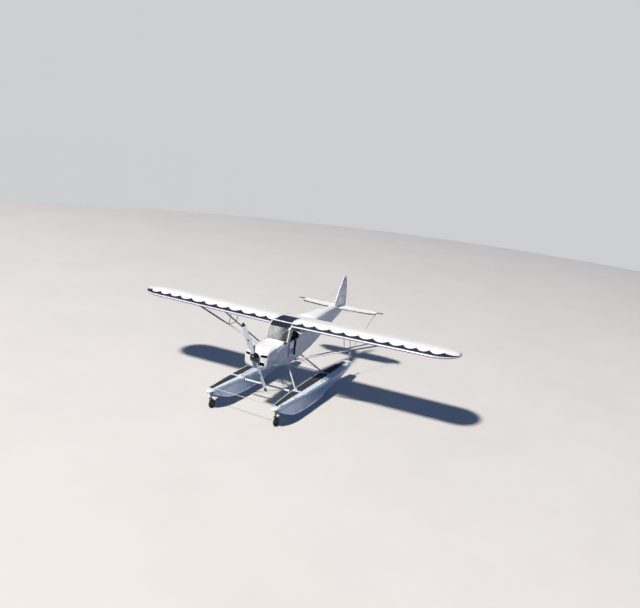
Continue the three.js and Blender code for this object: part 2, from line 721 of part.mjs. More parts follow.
function spinner() {
  const cap = swung(turned(SPINNER_PROFILE, 'y', 28), 'x', 180, at(0, 0, 0));
  const hubBore = rod(at(0, -60, 0), at(0, 60, 0), HUB_BAR.radius + SEAM, 24);
  const slot = block(-52, 52, -50, 62, 0, 200);
  return cut(cap, hubBore, slot, swung(slot, 'y', 180, at(0, 0, 0)));
}

for (const { name, shape, finish } of [
  { name: 'propeller', shape: propeller(), finish: 'bladePaint' },
  { name: 'spinner', shape: spinner(), finish: 'charcoalPaint' },
]) {
  const mesh = addPiece(name, shape, finish, at(0, HUB.y, HUB.z));
  mesh.rotation.y = -radians(HUB.lean);
}

// Tail surfaces: flat frames with rounded edges.  Outlines are X and Y, or Y and Z.
const STABILIZER = [
  [TAIL.rootX, 4235], [700, 4300], [1180, 4375], [1340, 4440], [1415, 4540], [1425, 4640],
  [1425, TAIL.hingeY - 26], [TAIL.rootX, TAIL.hingeY - 26],
];
const ELEVATOR = [
  [TAIL.rootX + 25, 0], [1436, 0], [1436, -215], [1468, -262], [1530, -275], [1592, -240],
  [1622, -150], [1612, 30], [1540, 190], [1380, 300], [1100, 362], [700, 385], [300, 370],
  [150, 300], [TAIL.rootX + 25, 180],
];
const grownCone = TAIL_CONE.map((s) => {
  return { ...s, crown: s.crown + SEAM, side: s.side + SEAM, half: s.half + SEAM };
});
const TAIL_BED = loft(grownCone.map(coneRing));
const HALF_PLATE = TAIL.thick / 2;
const TAIL_TUBE = HALF_PLATE - 1;
const LUG = { width: 30, rise: 9, sunk: 12 };

function stabilizer() {
  const { planeZ, hingeY } = TAIL;
  const sheet = levelPlate(STABILIZER, planeZ - HALF_PLATE, planeZ + HALF_PLATE, 9);
  const lugEnd = hingeY - TAIL_TUBE - PIN_GAP;
  const lugs = [180, 760, 1340].map((x) => {
    const [z0, z1] = [planeZ - LUG.rise, planeZ + LUG.rise];
    return block(x, x + LUG.width, hingeY - 26 - LUG.sunk, lugEnd, z0, z1);
  });
  return join(cut(sheet, TAIL_BED), ...lugs);
}
addPair('stabilizer', stabilizer(), 'whitePaint');

function elevator() {
  const sheet = levelPlate(ELEVATOR, 2 - HALF_PLATE, HALF_PLATE - 2, 8);
  const tube = rod(at(TAIL.rootX + 26, 0, 0), at(1430, 0, 0), TAIL_TUBE, 20);
  return swung(join(sheet, tube), 'x', -TAIL.droop, at(0, 0, 0));
}
addPair('elevator', elevator(), 'whitePaint', at(0, TAIL.hingeY, TAIL.planeZ));

const FIN = [
  [4070, -108], [4400, -255], [4814, -266], [4814, 640], [4640, 640], [4560, 560], [4360, 260], [4200, 30],
];
const RUDDER = [
  [0, -440], [0, 652], [-188, 652], [-150, 752], [-90, 826], [-10, 866], [70, 838], [150, 745],
  [215, 600], [265, 400], [300, 160], [322, -80], [316, -260], [260, -380], [140, -438],
];
const RUDDER_POST = { radius: 15, low: -436, high: 650 };

function fin() {
  const sheet = sidePlate(FIN, -TAIL.finThick / 2, TAIL.finThick / 2, [], 7);
  const lugEnd = TAIL.finHingeY - RUDDER_POST.radius - PIN_GAP;
  const lugs = [-180, 200, 580].map((z) => {
    return block(-LUG.rise, LUG.rise, 4814 - LUG.sunk, lugEnd, z, z + LUG.width);
  });
  return join(cut(sheet, TAIL_BED), ...lugs);
}
addPiece('fin', fin(), 'whitePaint');

function rudder() {
  const sheet = sidePlate(RUDDER, -14, 14, [], 7);
  const { radius, low, high } = RUDDER_POST;
  return join(sheet, rod(at(0, 0, low), at(0, 0, high), radius, 20));
}
addPiece('rudder', rudder(), 'whitePaint', at(0, TAIL.finHingeY, 0));

// Floats.  Columns: y, deck, deck half width, chine half width, chine height, keel height.
const HULL = [
  { y: FLOAT.bowY, deck: -1754, top: 66, chine: 82, chineZ: -1818, keel: -1840 },
  { y: -1950, deck: -1738, top: 98, chine: 150, chineZ: -1882, keel: -1930 },
  { y: -1700, deck: -1726, top: 128, chine: 236, chineZ: -1984, keel: -2062 },
  { y: -1250, deck: FLOAT.deckZ, top: 160, chine: 314, chineZ: -2088, keel: -2182 },
  { y: -500, deck: FLOAT.deckZ, top: 216, chine: 334, chineZ: -2116, keel: -2212 },
  { y: 640, deck: FLOAT.deckZ, top: 250, chine: 322, chineZ: -2104, keel: -2214 },
  { y: 644, deck: FLOAT.deckZ, top: 250, chine: 318, chineZ: -2050, keel: -2138 },
  { y: 1600, deck: FLOAT.deckZ, top: 238, chine: 284, chineZ: -1986, keel: -2040 },
  { y: 2500, deck: FLOAT.deckZ, top: 190, chine: 218, chineZ: -1900, keel: -1938 },
  { y: 3080, deck: FLOAT.deckZ, top: 132, chine: 150, chineZ: -1834, keel: -1858 },
  { y: FLOAT.sternY, deck: -1726, top: 98, chine: 108, chineZ: -1806, keel: -1824 },
];

function hullRing({ y, deck, top, chine, chineZ, keel }) {
  const flat = Math.min(FLOAT.walk, top * 0.55);
  const drop = Math.min(95, (deck - chineZ) * 0.5);
  const right = [
    [chine, chineZ], [lerp(chine, top + 34, 0.5), lerp(chineZ, deck - drop, 0.5)],
    [top + 34, deck - drop], [top + 24, deck - drop * 0.55], [top - 6, deck - drop * 0.22],
    [lerp(top, flat, 0.5), deck - drop * 0.05], [flat, deck],
  ];
  const left = [...right].reverse().map(([x, z]) => [-x, z]);
  return [[0, keel], ...right, ...left].map(([x, z]) => at(x, y, z));
}

const SOCKET = { z: -1992, rise: 100, radius: 34 };
const WELL = { side: 32, around: 16 };
const WATER_RUDDER = { y: FLOAT.sternY + 34, low: -1790, high: -1470, chord: 190, post: 15 };
const BRACKET = { low: -1780, high: -1738, radius: 30, half: 16, sunk: 40 };

// The bracket on the stern that carries the water rudder's post.
function sternBracket() {
  const { low, high, radius, half, sunk } = BRACKET;
  const arm = block(-half, half, FLOAT.sternY - sunk, WATER_RUDDER.y, low, high);
  const ring = rod(at(0, WATER_RUDDER.y, low), at(0, WATER_RUDDER.y, high), radius, 20);
  return join(arm, ring);
}

function hull() {
  const body = loft(HULL.map(hullRing));
  const axle = GROUND_Z + MAIN_WHEEL.radius;
  const halfWell = MAIN_WHEEL.width / 2 + WELL.side;
  const wellEnds = [-halfWell, halfWell].map((x) => at(x, MAIN_WHEEL.y, axle));
  const well = rod(...wellEnds, MAIN_WHEEL.radius + WELL.around, 24);
  const { stemY } = NOSE_WHEEL;
  const socket = rod(at(0, stemY, SOCKET.z), at(0, stemY, SOCKET.z + SOCKET.rise), SOCKET.radius, 16);
  const postEnds = [BRACKET.low - 20, BRACKET.high + 20].map((z) => at(0, WATER_RUDDER.y, z));
  const postHole = rod(...postEnds, WATER_RUDDER.post + PIN_GAP, 20);
  return cut(join(body, socket, sternBracket()), well, postHole);
}
addPair('float', hull(), 'hullPaint', at(FLOAT.middle, 0, 0));

function bowBumper() {
  const first = HULL[0];
  const middle = (first.deck + first.keel) / 2;
  const stages = [
    { y: -SEAM, size: 1 }, { y: -45, size: 0.86 }, { y: -80, size: 0.58 }, { y: -96, size: 0.3 },
  ];
  return loft(stages.map(({ y, size }) => hullRing(first).map((p) => {
    return at(p.x * size, first.y + y, middle + (p.z - middle) * size);
  })));
}
addPair('bow_bumper', bowBumper(), 'bumperRubber', at(FLOAT.middle, 0, 0));

// Float struts: on each side a front and a rear strut with a diagonal between them.  They
// stand on brackets that lie over the inboard shoulder of the float.
const SHOULDER_BRACKET = { outer: 73, inner: 315, high: 30, low: 90, half: 50 };

function floatStruts() {
  const foot = ({ y, inboard }) => at(FLOAT.middle - inboard, y, FLOAT.deckZ + 16);
  const head = ({ fuselageY, fuselageZ }) => at(CABIN_HALF - 35, fuselageY, fuselageZ - 12);
  const frontStrut = strut(foot(FRONT_BAY), head(FRONT_BAY), 76, 36);
  const rearStrut = strut(foot(REAR_BAY), head(REAR_BAY), 76, 36);
  const diagonal = strut(head(FRONT_BAY).add(at(0, 30, 0)), foot(REAR_BAY).add(at(0, -30, 0)), 56, 26);
  const bracket = ({ y }) => {
    const { outer, inner, high, low, half } = SHOULDER_BRACKET;
    const [x0, x1] = [FLOAT.middle - inner, FLOAT.middle - outer];
    return block(x0, x1, y - half, y + half, FLOAT.deckZ - low, FLOAT.deckZ + high);
  };
  const whole = join(frontStrut, rearStrut, diagonal, bracket(FRONT_BAY), bracket(REAR_BAY));
  const hullHere = loft(HULL.map(hullRing));
  hullHere.translate(FLOAT.middle, 0, SEAM);
  const lowered = CABIN_BOTTOM.map(([y, z]) => [y, z - SEAM]);
  const cabin = sidePlate([...lowered, [CABIN_END_Y, 0], [FIREWALL_Y, 0]], 0, CABIN_HALF + 1);
  return cut(whole, hullHere, cabin);
}
addPair('float_struts', floatStruts(), 'strutPaint');

const SPREADER_DROP = 53;

function spreader(y, chord, thick) {
  const reach = FLOAT.middle - SHOULDER_BRACKET.inner - SEAM;
  const z = FLOAT.deckZ - SPREADER_DROP;
  return strut(at(-reach, y, z), at(reach, y, z), chord, thick);
}
addPiece('spreader_front', spreader(FRONT_BAY.y, 74, 38), 'strutPaint');
addPiece('spreader_rear', spreader(REAR_BAY.y, 92, 44), 'strutPaint');

// Wheels, turned about X.  Profiles are radius and half width.
const HUB_SHARE = 0.62;

function wheel({ radius, width, rim }) {
  const w = width / 2;
  const near = [
    [0, -w * HUB_SHARE], [rim * 0.45, -w * HUB_SHARE], [rim, -w * 0.5], [rim + 4, -w * 0.86],
    [radius * 0.8, -w], [radius * 0.93, -w * 0.8], [radius, -w * 0.35],
  ];
  const far = [...near].reverse().map(([r, h]) => [r, -h]);
  return turned([...near, ...far], 'x', 28);
}
for (const { name, sign } of SIDES) {
  for (const [stem, size] of [['main_wheel', MAIN_WHEEL], ['nose_wheel', NOSE_WHEEL]]) {
    const place = at(sign * FLOAT.middle, size.y, GROUND_Z + size.radius);
    addPiece(`${stem}_${name}`, wheel(size), 'tyreRubber', place);
  }
}

// A pair of stub axles that reach in from a fork's arms to the wheel's sides.
function stubAxles(y, z, from, to, radius) {
  return [1, -1].map((s) => rod(at(s * from, y, z), at(s * to, y, z), radius, 12));
}

const MAIN_FORK = { bridgeY: 812, bridgeZ: -2148, armGap: 15, bridge: 22, axle: 13 };

function mainFork() {
  const { bridgeY, bridgeZ, armGap } = MAIN_FORK;
  const axleZ = GROUND_Z + MAIN_WHEEL.radius;
  const out = MAIN_WHEEL.width / 2 + armGap;
  const arms = [out, -out].map((x) => {
    return strut(at(x, bridgeY - 12, bridgeZ + 3), at(x, MAIN_WHEEL.y, axleZ), 44, 12, 10);
  });
  const bridgeEnds = [-out - 5, out + 5].map((x) => at(x, bridgeY, bridgeZ));
  const bridge = rod(...bridgeEnds, MAIN_FORK.bridge, 14);
  const pivot = block(-40, 40, bridgeY - 42, bridgeY + 38, bridgeZ, bridgeZ + 68);
  const inner = (MAIN_WHEEL.width / 2) * HUB_SHARE + PIN_GAP;
  const axles = stubAxles(MAIN_WHEEL.y, axleZ, out + 10, inner, MAIN_FORK.axle);
  const hullAbove = loft(HULL.map(hullRing));
  hullAbove.translate(0, 0, -SEAM);
  return cut(join(...arms, bridge, pivot, ...axles), hullAbove);
}
addPair('main_fork', mainFork(), 'strutPaint', at(FLOAT.middle, 0, 0));

const NOSE_FORK = { armGap: 13, crownGap: 26, stem: 20, axle: 9 };

function noseFork() {
  const { stemY, y, radius, width } = NOSE_WHEEL;
  const axleZ = GROUND_Z + radius;
  const out = width / 2 + NOSE_FORK.armGap;
  const crownZ = axleZ + radius + NOSE_FORK.crownGap;
  const arms = [out, -out].map((x) => strut(at(x, stemY, crownZ), at(x, y, axleZ), 36, 10, 10));
  const crown = block(-out - 6, out + 6, stemY - 24, stemY + 24, crownZ - 8, crownZ + 16);
  const stem = rod(at(0, stemY, crownZ), at(0, stemY, SOCKET.z - SEAM), NOSE_FORK.stem, 16);
  const inner = (width / 2) * HUB_SHARE + PIN_GAP;
  const axles = stubAxles(y, axleZ, out + 8, inner, NOSE_FORK.axle);
  return join(...arms, crown, stem, ...axles);
}
addPair('nose_fork', noseFork(), 'darkPlastic', at(FLOAT.middle, 0, 0));

// Water rudders, raised above the sterns.
function waterRudder() {
  const { low, high, chord, post } = WATER_RUDDER;
  const foot = BRACKET.high + MOVE_GAP;
  const blade = sidePlate([
    [-26, foot], [30, foot], [70, foot + 50], [chord, high - 60], [chord - 30, high], [20, high],
    [-26, high - 60],
  ], -6, 6);
  return join(blade, rod(at(0, 0, low), at(0, 0, low + 190), post, 20));
}
addPair('water_rudder', waterRudder(), 'hullPaint', at(FLOAT.middle, WATER_RUDDER.y, 0));

export default craft;
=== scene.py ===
"""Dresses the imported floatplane: fabric wings and tail, tube cabin, cowled nose and sheet metal floats."""
import functools
import logging
import math
from dataclasses import dataclass
from enum import Enum
from typing import Callable, Iterable, Sequence

import bmesh
import bpy
from mathutils import Matrix, Vector


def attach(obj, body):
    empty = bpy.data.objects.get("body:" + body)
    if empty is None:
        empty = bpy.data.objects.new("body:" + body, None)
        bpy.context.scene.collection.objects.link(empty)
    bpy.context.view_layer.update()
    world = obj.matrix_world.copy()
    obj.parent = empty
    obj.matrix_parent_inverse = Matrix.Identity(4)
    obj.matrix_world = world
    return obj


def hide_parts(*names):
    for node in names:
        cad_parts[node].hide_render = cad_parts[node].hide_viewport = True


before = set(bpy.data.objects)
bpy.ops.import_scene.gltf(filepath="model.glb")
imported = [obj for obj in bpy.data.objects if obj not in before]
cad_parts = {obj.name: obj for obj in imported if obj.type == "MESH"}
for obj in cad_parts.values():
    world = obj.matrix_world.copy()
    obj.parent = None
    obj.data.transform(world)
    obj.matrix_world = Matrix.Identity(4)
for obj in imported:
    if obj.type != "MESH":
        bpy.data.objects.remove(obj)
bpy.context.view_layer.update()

LOG = logging.getLogger("floatplane")
Place = Sequence[float]  # x, y and z, as a vector or as plain numbers
MM = 0.001
WING_EDGE = Vector((0.0, -1.5038, 2.340))  # the middle of the wing's leading edge, in metres
GROUND = -2340.0
SIDES = (("left", 1), ("right", -1))
OUT, AFT, UP = Vector((1, 0, 0)), Vector((0, 1, 0)), Vector((0, 0, 1))
FLOOR = ((-760, -1018), (-300, -1103), (100, -1148), (560, -1118), (1650, -933))  # station, height


# ---------------------------------------------------------------- shapes
def lerp(a: float, b: float, share: float) -> float:
    """Returns the value that lies at a share of the way from a to b."""
    return a + (b - a) * share


def along(table: Sequence[Sequence[float]], key: float, smooth: bool = False) -> list[float]:
    """Reads a table of stations at any place between its rows.

    Args:
        table: rows that start with their station, in rising order.
        key: the station to read at.
        smooth: joins the rows by a curve with no overshoot, not by straight lines.

    Returns:
        The columns after the first one.
    """
    last = len(table) - 1
    i = max(0, min(last - 1, sum(1 for row in table[1:-1] if row[0] <= key)))
    a, b = table[i], table[i + 1]
    span = b[0] - a[0]
    t = max(0.0, min(1.0, (key - a[0]) / span))
    if not smooth:
        return [lerp(p, q, t) for p, q in zip(a[1:], b[1:])]
    values = []
    for column in range(1, len(a)):
        step = (b[column] - a[column]) / span
        slopes = []
        for j in (i, i + 1):
            before = table[max(j - 1, 0)]
            here, after = table[j], table[min(j + 1, last)]
            left = (here[column] - before[column]) / max(here[0] - before[0], 1e-6) if j > 0 else step
            right = (after[column] - here[column]) / max(after[0] - here[0], 1e-6) if j < last else step
            slopes.append(0.0 if left * right <= 0 else 2 * left * right / (left + right))
        t2, t3 = t * t, t * t * t
        values.append((2 * t3 - 3 * t2 + 1) * a[column] + (t3 - 2 * t2 + t) * span * slopes[0]
                      + (3 * t2 - 2 * t3) * b[column] + (t3 - t2) * span * slopes[1])
    return values


def spread(low: float, high: float, count: int) -> list[float]:
    """Returns count values from low to high, evenly spaced."""
    return [lerp(low, high, i / (count - 1)) for i in range(count)]


def arc(centre: Place, u: Place, v: Place, start: float, end: float, count: int) -> list[Vector]:
    """Returns points on an arc about centre, from start to end degrees, where u is 0 and v is 90.

    Args:
        centre: its middle.
        u: the direction at 0 degrees.
        v: the direction at 90 degrees.
        start: the first angle.
        end: the last angle.
        count: how many points.

    Returns:
        The points.
    """
    centre, u, v = Vector(centre), Vector(u), Vector(v)
    turns = [math.radians(t) for t in spread(start, end, count)]
    return [centre + u * math.cos(t) + v * math.sin(t) for t in turns]


def rounded(turn: float, power: float) -> tuple[float, float]:
    """Returns a point of a unit square with round corners, at an angle in radians."""
    return tuple(math.copysign(abs(v) ** power, v) for v in (math.cos(turn), math.sin(turn)))


def circle(centre: Place, axis: Place, radius: float, sides: int) -> list[Vector]:
    """Returns a ring of points about an axis.

    Args:
        centre: its middle.
        axis: the line that it stands round.
        radius: its radius.
        sides: how many flats make it round.

    Returns:
        The points.
    """
    axis = Vector(axis)
    u = axis.orthogonal().normalized()
    v = axis.normalized().cross(u)
    return arc(centre, u * radius, v * radius, 0, 360 - 360 / sides, sides)


class Shape:
    """A mesh in the making, in millimetres from the middle of the wing's leading edge."""

    def __init__(self) -> None:
        """Starts with nothing."""
        self.points: list[Vector] = []
        self.faces: list[tuple[int, ...]] = []
        self.coats: list[int] = []

    def patch(self, points: Iterable[Place], faces: Iterable[Sequence[int]], coat: int = 0) -> "Shape":
        """Adds points and the faces between them, in one coat.

        Args:
            points: the new points.
            faces: their faces, by place among the new points.
            coat: the coat of its faces.

        Returns:
            The same shape.
        """
        first = len(self.points)
        self.points += [Vector(p) for p in points]
        new = [tuple(first + i for i in face) for face in faces]
        self.faces += new
        self.coats += [coat] * len(new)
        return self

    def add(self, other: "Shape") -> None:
        """Takes in another shape with its coats.

        Args:
            other: the shape to take in.
        """
        first = len(self.points)
        self.points += other.points
        self.faces += [tuple(first + i for i in face) for face in other.faces]
        self.coats += other.coats

    def loft(self, rings: Sequence[Sequence[Place]], coat: int = 0, closed: bool = True, caps: bool = True,
             coat_of: Callable[[int, int], int] | None = None) -> "Shape":
        """Joins rings of points by faces.

        Args:
            rings: the rings, each with the same number of points.
            coat: the coat of the faces and the end caps.
            closed: joins each ring's last point to its first.
            caps: closes both ends.
            coat_of: gives a face's coat from its ring and its place in the ring.

        Returns:
            The same shape.
        """
        first, count = len(self.points), len(rings[0])
        self.points += [Vector(p) for ring in rings for p in ring]
        for r in range(len(rings) - 1):
            for i in range(count if closed else count - 1):
                a, b = first + r * count + i, first + r * count + (i + 1) % count
                self.faces.append((a, b, b + count, a + count))
                self.coats.append(coat_of(r, i) if coat_of else coat)
        if caps and closed:
            for r in (0, len(rings) - 1):
                self.faces.append(tuple(first + r * count + i for i in range(count)))
                self.coats.append(coat)
        return self

    def tube(self, path: Sequence[Place], radius: float, sides: int = 12, coat: int = 0) -> "Shape":
        """Adds a round bar along a path, with its ends closed.

        Args:
            path: its middle line.
            radius: its radius.
            sides: how many flats make it round.
            coat: the coat of its faces.

        Returns:
            The same shape.
        """
        path = [Vector(p) for p in path]
        side = (path[1] - path[0]).orthogonal().normalized()
        rings = []
        for i, point in enumerate(path):
            run = (path[min(i + 1, len(path) - 1)] - path[max(i - 1, 0)]).normalized()
            side = (side - run * side.dot(run)).normalized()
            rings.append(arc(point, side * radius, run.cross(side) * radius, 0, 360 - 360 / sides, sides))
        return self.loft(rings, coat)

    def turned(self, profile: Sequence[tuple[float, float]], centre: Place, axis: Place, sides: int = 32,
               coat: int = 0, coat_of: Callable[[int, int], int] | None = None) -> "Shape":
        """Adds a turned body: its profile gives radius and height along the axis.

        Args:
            profile: pairs of radius and height.
            centre: its middle.
            axis: the line that it stands round.
            sides: how many flats make it round.
            coat: the coat of its faces.
            coat_of: gives a face's coat from its ring and its place there.

        Returns:
            The same shape.
        """
        run = Vector(axis).normalized()
        rings = [circle(Vector(centre) + run * h, run, max(r, 0.05), sides) for r, h in profile]
        return self.loft(rings, coat, coat_of=coat_of)

    def slab(self, low: Sequence[float], high: Sequence[float], coat: int = 0) -> "Shape":
        """Adds a square block between two corners.

        Args:
            low: the lowest corner.
            high: the highest corner.
            coat: the coat of its faces.

        Returns:
            The same shape.
        """
        (x0, y0, z0), (x1, y1, z1) = low, high
        flat = [Vector((x0, y0, 0)), Vector((x1, y0, 0)), Vector((x1, y1, 0)), Vector((x0, y1, 0))]
        return self.loft([[Vector((p.x, p.y, z)) for p in flat] for z in (z0, z1)], coat)

    def prism(self, outline: Sequence[Vector], pull: Place, coat: int = 0) -> "Shape":
        """Adds a flat outline pulled into a plate."""
        return self.loft([list(outline), [p + Vector(pull) for p in outline]], coat)

    def strut(self, a: Place, b: Place, chord: float, thick: float, sides: int = 20, coat: int = 0) -> "Shape":
        """Adds a streamlined bar with its long side fore and aft, drawn in at both ends.

        Args:
            a: one end.
            b: the other end.
            chord: its width fore and aft.
            thick: its thickness.
            sides: how many flats make it round.
            coat: the coat of its faces.

        Returns:
            The same shape.
        """
        a, b = Vector(a), Vector(b)
        out = (b - a).normalized().cross(AFT).normalized()
        rings = []
        for share, size in ((0, 0.55), (0.012, 0.86), (0.035, 1), (0.5, 1), (0.965, 1), (0.988, 0.86), (1, 0.55)):
            middle = a.lerp(b, share)
            u, v = Vector((0, size * chord / 2, 0)), out * size * thick / 2
            rings.append(arc(middle, u, v, 0, 360 - 360 / sides, sides))
        return self.loft(rings, coat)

    def rivets(self, spots: Iterable[tuple[Place, Place]], radius: float = 3.2, rise: float = 1.3,
               coat: int = 0) -> "Shape":
        """Adds a low round head at each spot, facing out along the spot's direction.

        Args:
            spots: pairs of place and direction.
            radius: its radius.
            rise: its height.
            coat: the coat of its faces.

        Returns:
            The same shape.
        """
        for place, out in ((Vector(p), Vector(way)) for p, way in spots):
            ring = circle(place - out * 0.4, out, radius, 6)
            upper = circle(place + out * rise * 0.8, out, radius * 0.6, 6)
            faces = [(i, (i + 1) % 6, 6 + (i + 1) % 6, 6 + i) for i in range(6)]
            self.patch(ring + upper, [*faces, tuple(range(6, 12)), (5, 4, 3, 2, 1, 0)], coat)
        return self

    def moved(self, by: Sequence[float]) -> "Shape":
        """Moves every point."""
        self.points = [p + Vector(by) for p in self.points]
        return self

    def swung(self, axis: str, degrees: float, pivot: Sequence[float]) -> "Shape":
        """Turns every point about a line through the pivot.

        Args:
            axis: the axis that the line runs along.
            degrees: the angle.
            pivot: a point of the line.

        Returns:
            The same shape.
        """
        turn, centre = Matrix.Rotation(math.radians(degrees), 3, axis), Vector(pivot)
        self.points = [turn @ (p - centre) + centre for p in self.points]
        return self

    def sided(self, sign: int) -> "Shape":
        """Returns a copy on the craft's left for 1 and on its right for -1.

        Args:
            sign: 1 for left and -1 for right.

        Returns:
            The copy.
        """
        copy = Shape()
        copy.points = [Vector((sign * p.x, p.y, p.z)) for p in self.points]
        copy.faces = [face if sign > 0 else face[::-1] for face in self.faces]
        copy.coats = list(self.coats)
        return copy

    def solid(self, name: str) -> bpy.types.Object:
        """Makes the object, in metres, with its faces turned out.

        Args:
            name: the object's name.

        Returns:
            The object.
        """
        mesh = bpy.data.meshes.new(name)
        mesh.from_pydata([p * MM + WING_EDGE for p in self.points], [], self.faces)
        mesh.polygons.foreach_set("material_index", self.coats)
        tool = bmesh.new()
        tool.from_mesh(mesh)
        bmesh.ops.remove_doubles(tool, verts=tool.verts, dist=1e-5)
        bmesh.ops.recalc_face_normals(tool, faces=tool.faces)
        tool.to_mesh(mesh)
        tool.free()
        made = bpy.data.objects.new(name, mesh)
        bpy.context.scene.collection.objects.link(made)
        return made

    def piece(self, name: str, body: str, slot: str, *finishes: "Finish", replaces: Sequence[str] = (),
              bevel: float = 0.0, angle: float = 32.0, cutters: Sequence["Shape"] = ()) -> bpy.types.Object:
        """Makes a finished piece of the craft.

        Args:
            name: the piece's name.
            body: the body that it rides on.
            slot: the record's material slot; not used.
            finishes: one finish for each coat number.
            replaces: the nodes that it stands for.
            bevel: the radius of its rounded edges, in millimetres.
            angle: the fold, in degrees, from which an edge stays sharp.
            cutters: shapes that are cut out of it.

        Returns:
            The object.
        """
        made = self.solid(name)
        for finish in finishes:
            made.data.materials.append(finish.material())
        carve(made, cutters)
        made.data.polygons.foreach_set("use_smooth", [True] * len(made.data.polygons))
        made.data.set_sharp_from_angle(angle=math.radians(angle))
        if bevel:
            edge = made.modifiers.new("edges", "BEVEL")
            edge.width, edge.segments, edge.limit_method = bevel * MM, 2, "ANGLE"
            edge.angle_limit, edge.harden_normals = math.radians(angle), True
        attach(made, body)
        if replaces:
            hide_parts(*replaces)
        LOG.info("%s on %s", name, body)
        return made


def carve(made: bpy.types.Object, cutters: Sequence[Shape]) -> None:
    """Cuts shapes out of an object's mesh for good.

    Args:
        made: the object.
        cutters: the shapes to cut out.
    """
    tools = [cutter.solid(f"{made.name}_cut") for cutter in cutters]
    for tool in tools:
        step = made.modifiers.new("cut", "BOOLEAN")
        step.operation, step.solver, step.object = "DIFFERENCE", "EXACT", tool
    if tools:
        result = made.evaluated_get(bpy.context.evaluated_depsgraph_get())
        made.data = bpy.data.meshes.new_from_object(result)
        made.modifiers.clear()
    for tool in tools:
        bpy.data.objects.remove(tool)


# ---------------------------------------------------------------- finishes
def linear(code: str) -> tuple[float, float, float, float]:
    """Turns an sRGB hex colour into the renderer's linear one.

    Args:
        code: a colour such as "#e8edf1".

    Returns:
        Red, green and blue, and an alpha of 1.
    """
    parts = [int(code[i:i + 2], 16) / 255 for i in (1, 3, 5)]
    return (*[c / 12.92 if c <= 0.04045 else ((c + 0.055) / 1.055) ** 2.4 for c in parts], 1.0)


def add_node(tree: bpy.types.NodeTree, kind: str, inputs: dict | None = None, **settings: object) -> bpy.types.Node:
    """Adds a shader node.

    Args:
        tree: the material's node tree.
        kind: the node's type name, without its common start.
        inputs: a value or a socket to link, for each input by name or number.
        settings: the node's own options.

    Returns:
        The node.
    """
    made = tree.nodes.new(f"ShaderNode{kind}")
    for key, value in settings.items():
        setattr(made, key, value)
    for key, value in (inputs or {}).items():
        if isinstance(value, bpy.types.NodeSocket):
            tree.links.new(value, made.inputs[key])
        else:
            made.inputs[key].default_value = value
    return made


class Relief(Enum):
    """The fine relief that a making process leaves on a surface."""

    WOVEN = "woven"
    SPRAYED = "sprayed"
    BRUSHED = "brushed"
    GRIT = "grit"
    GRAIN = "grain"
    TWISTED = "twisted"


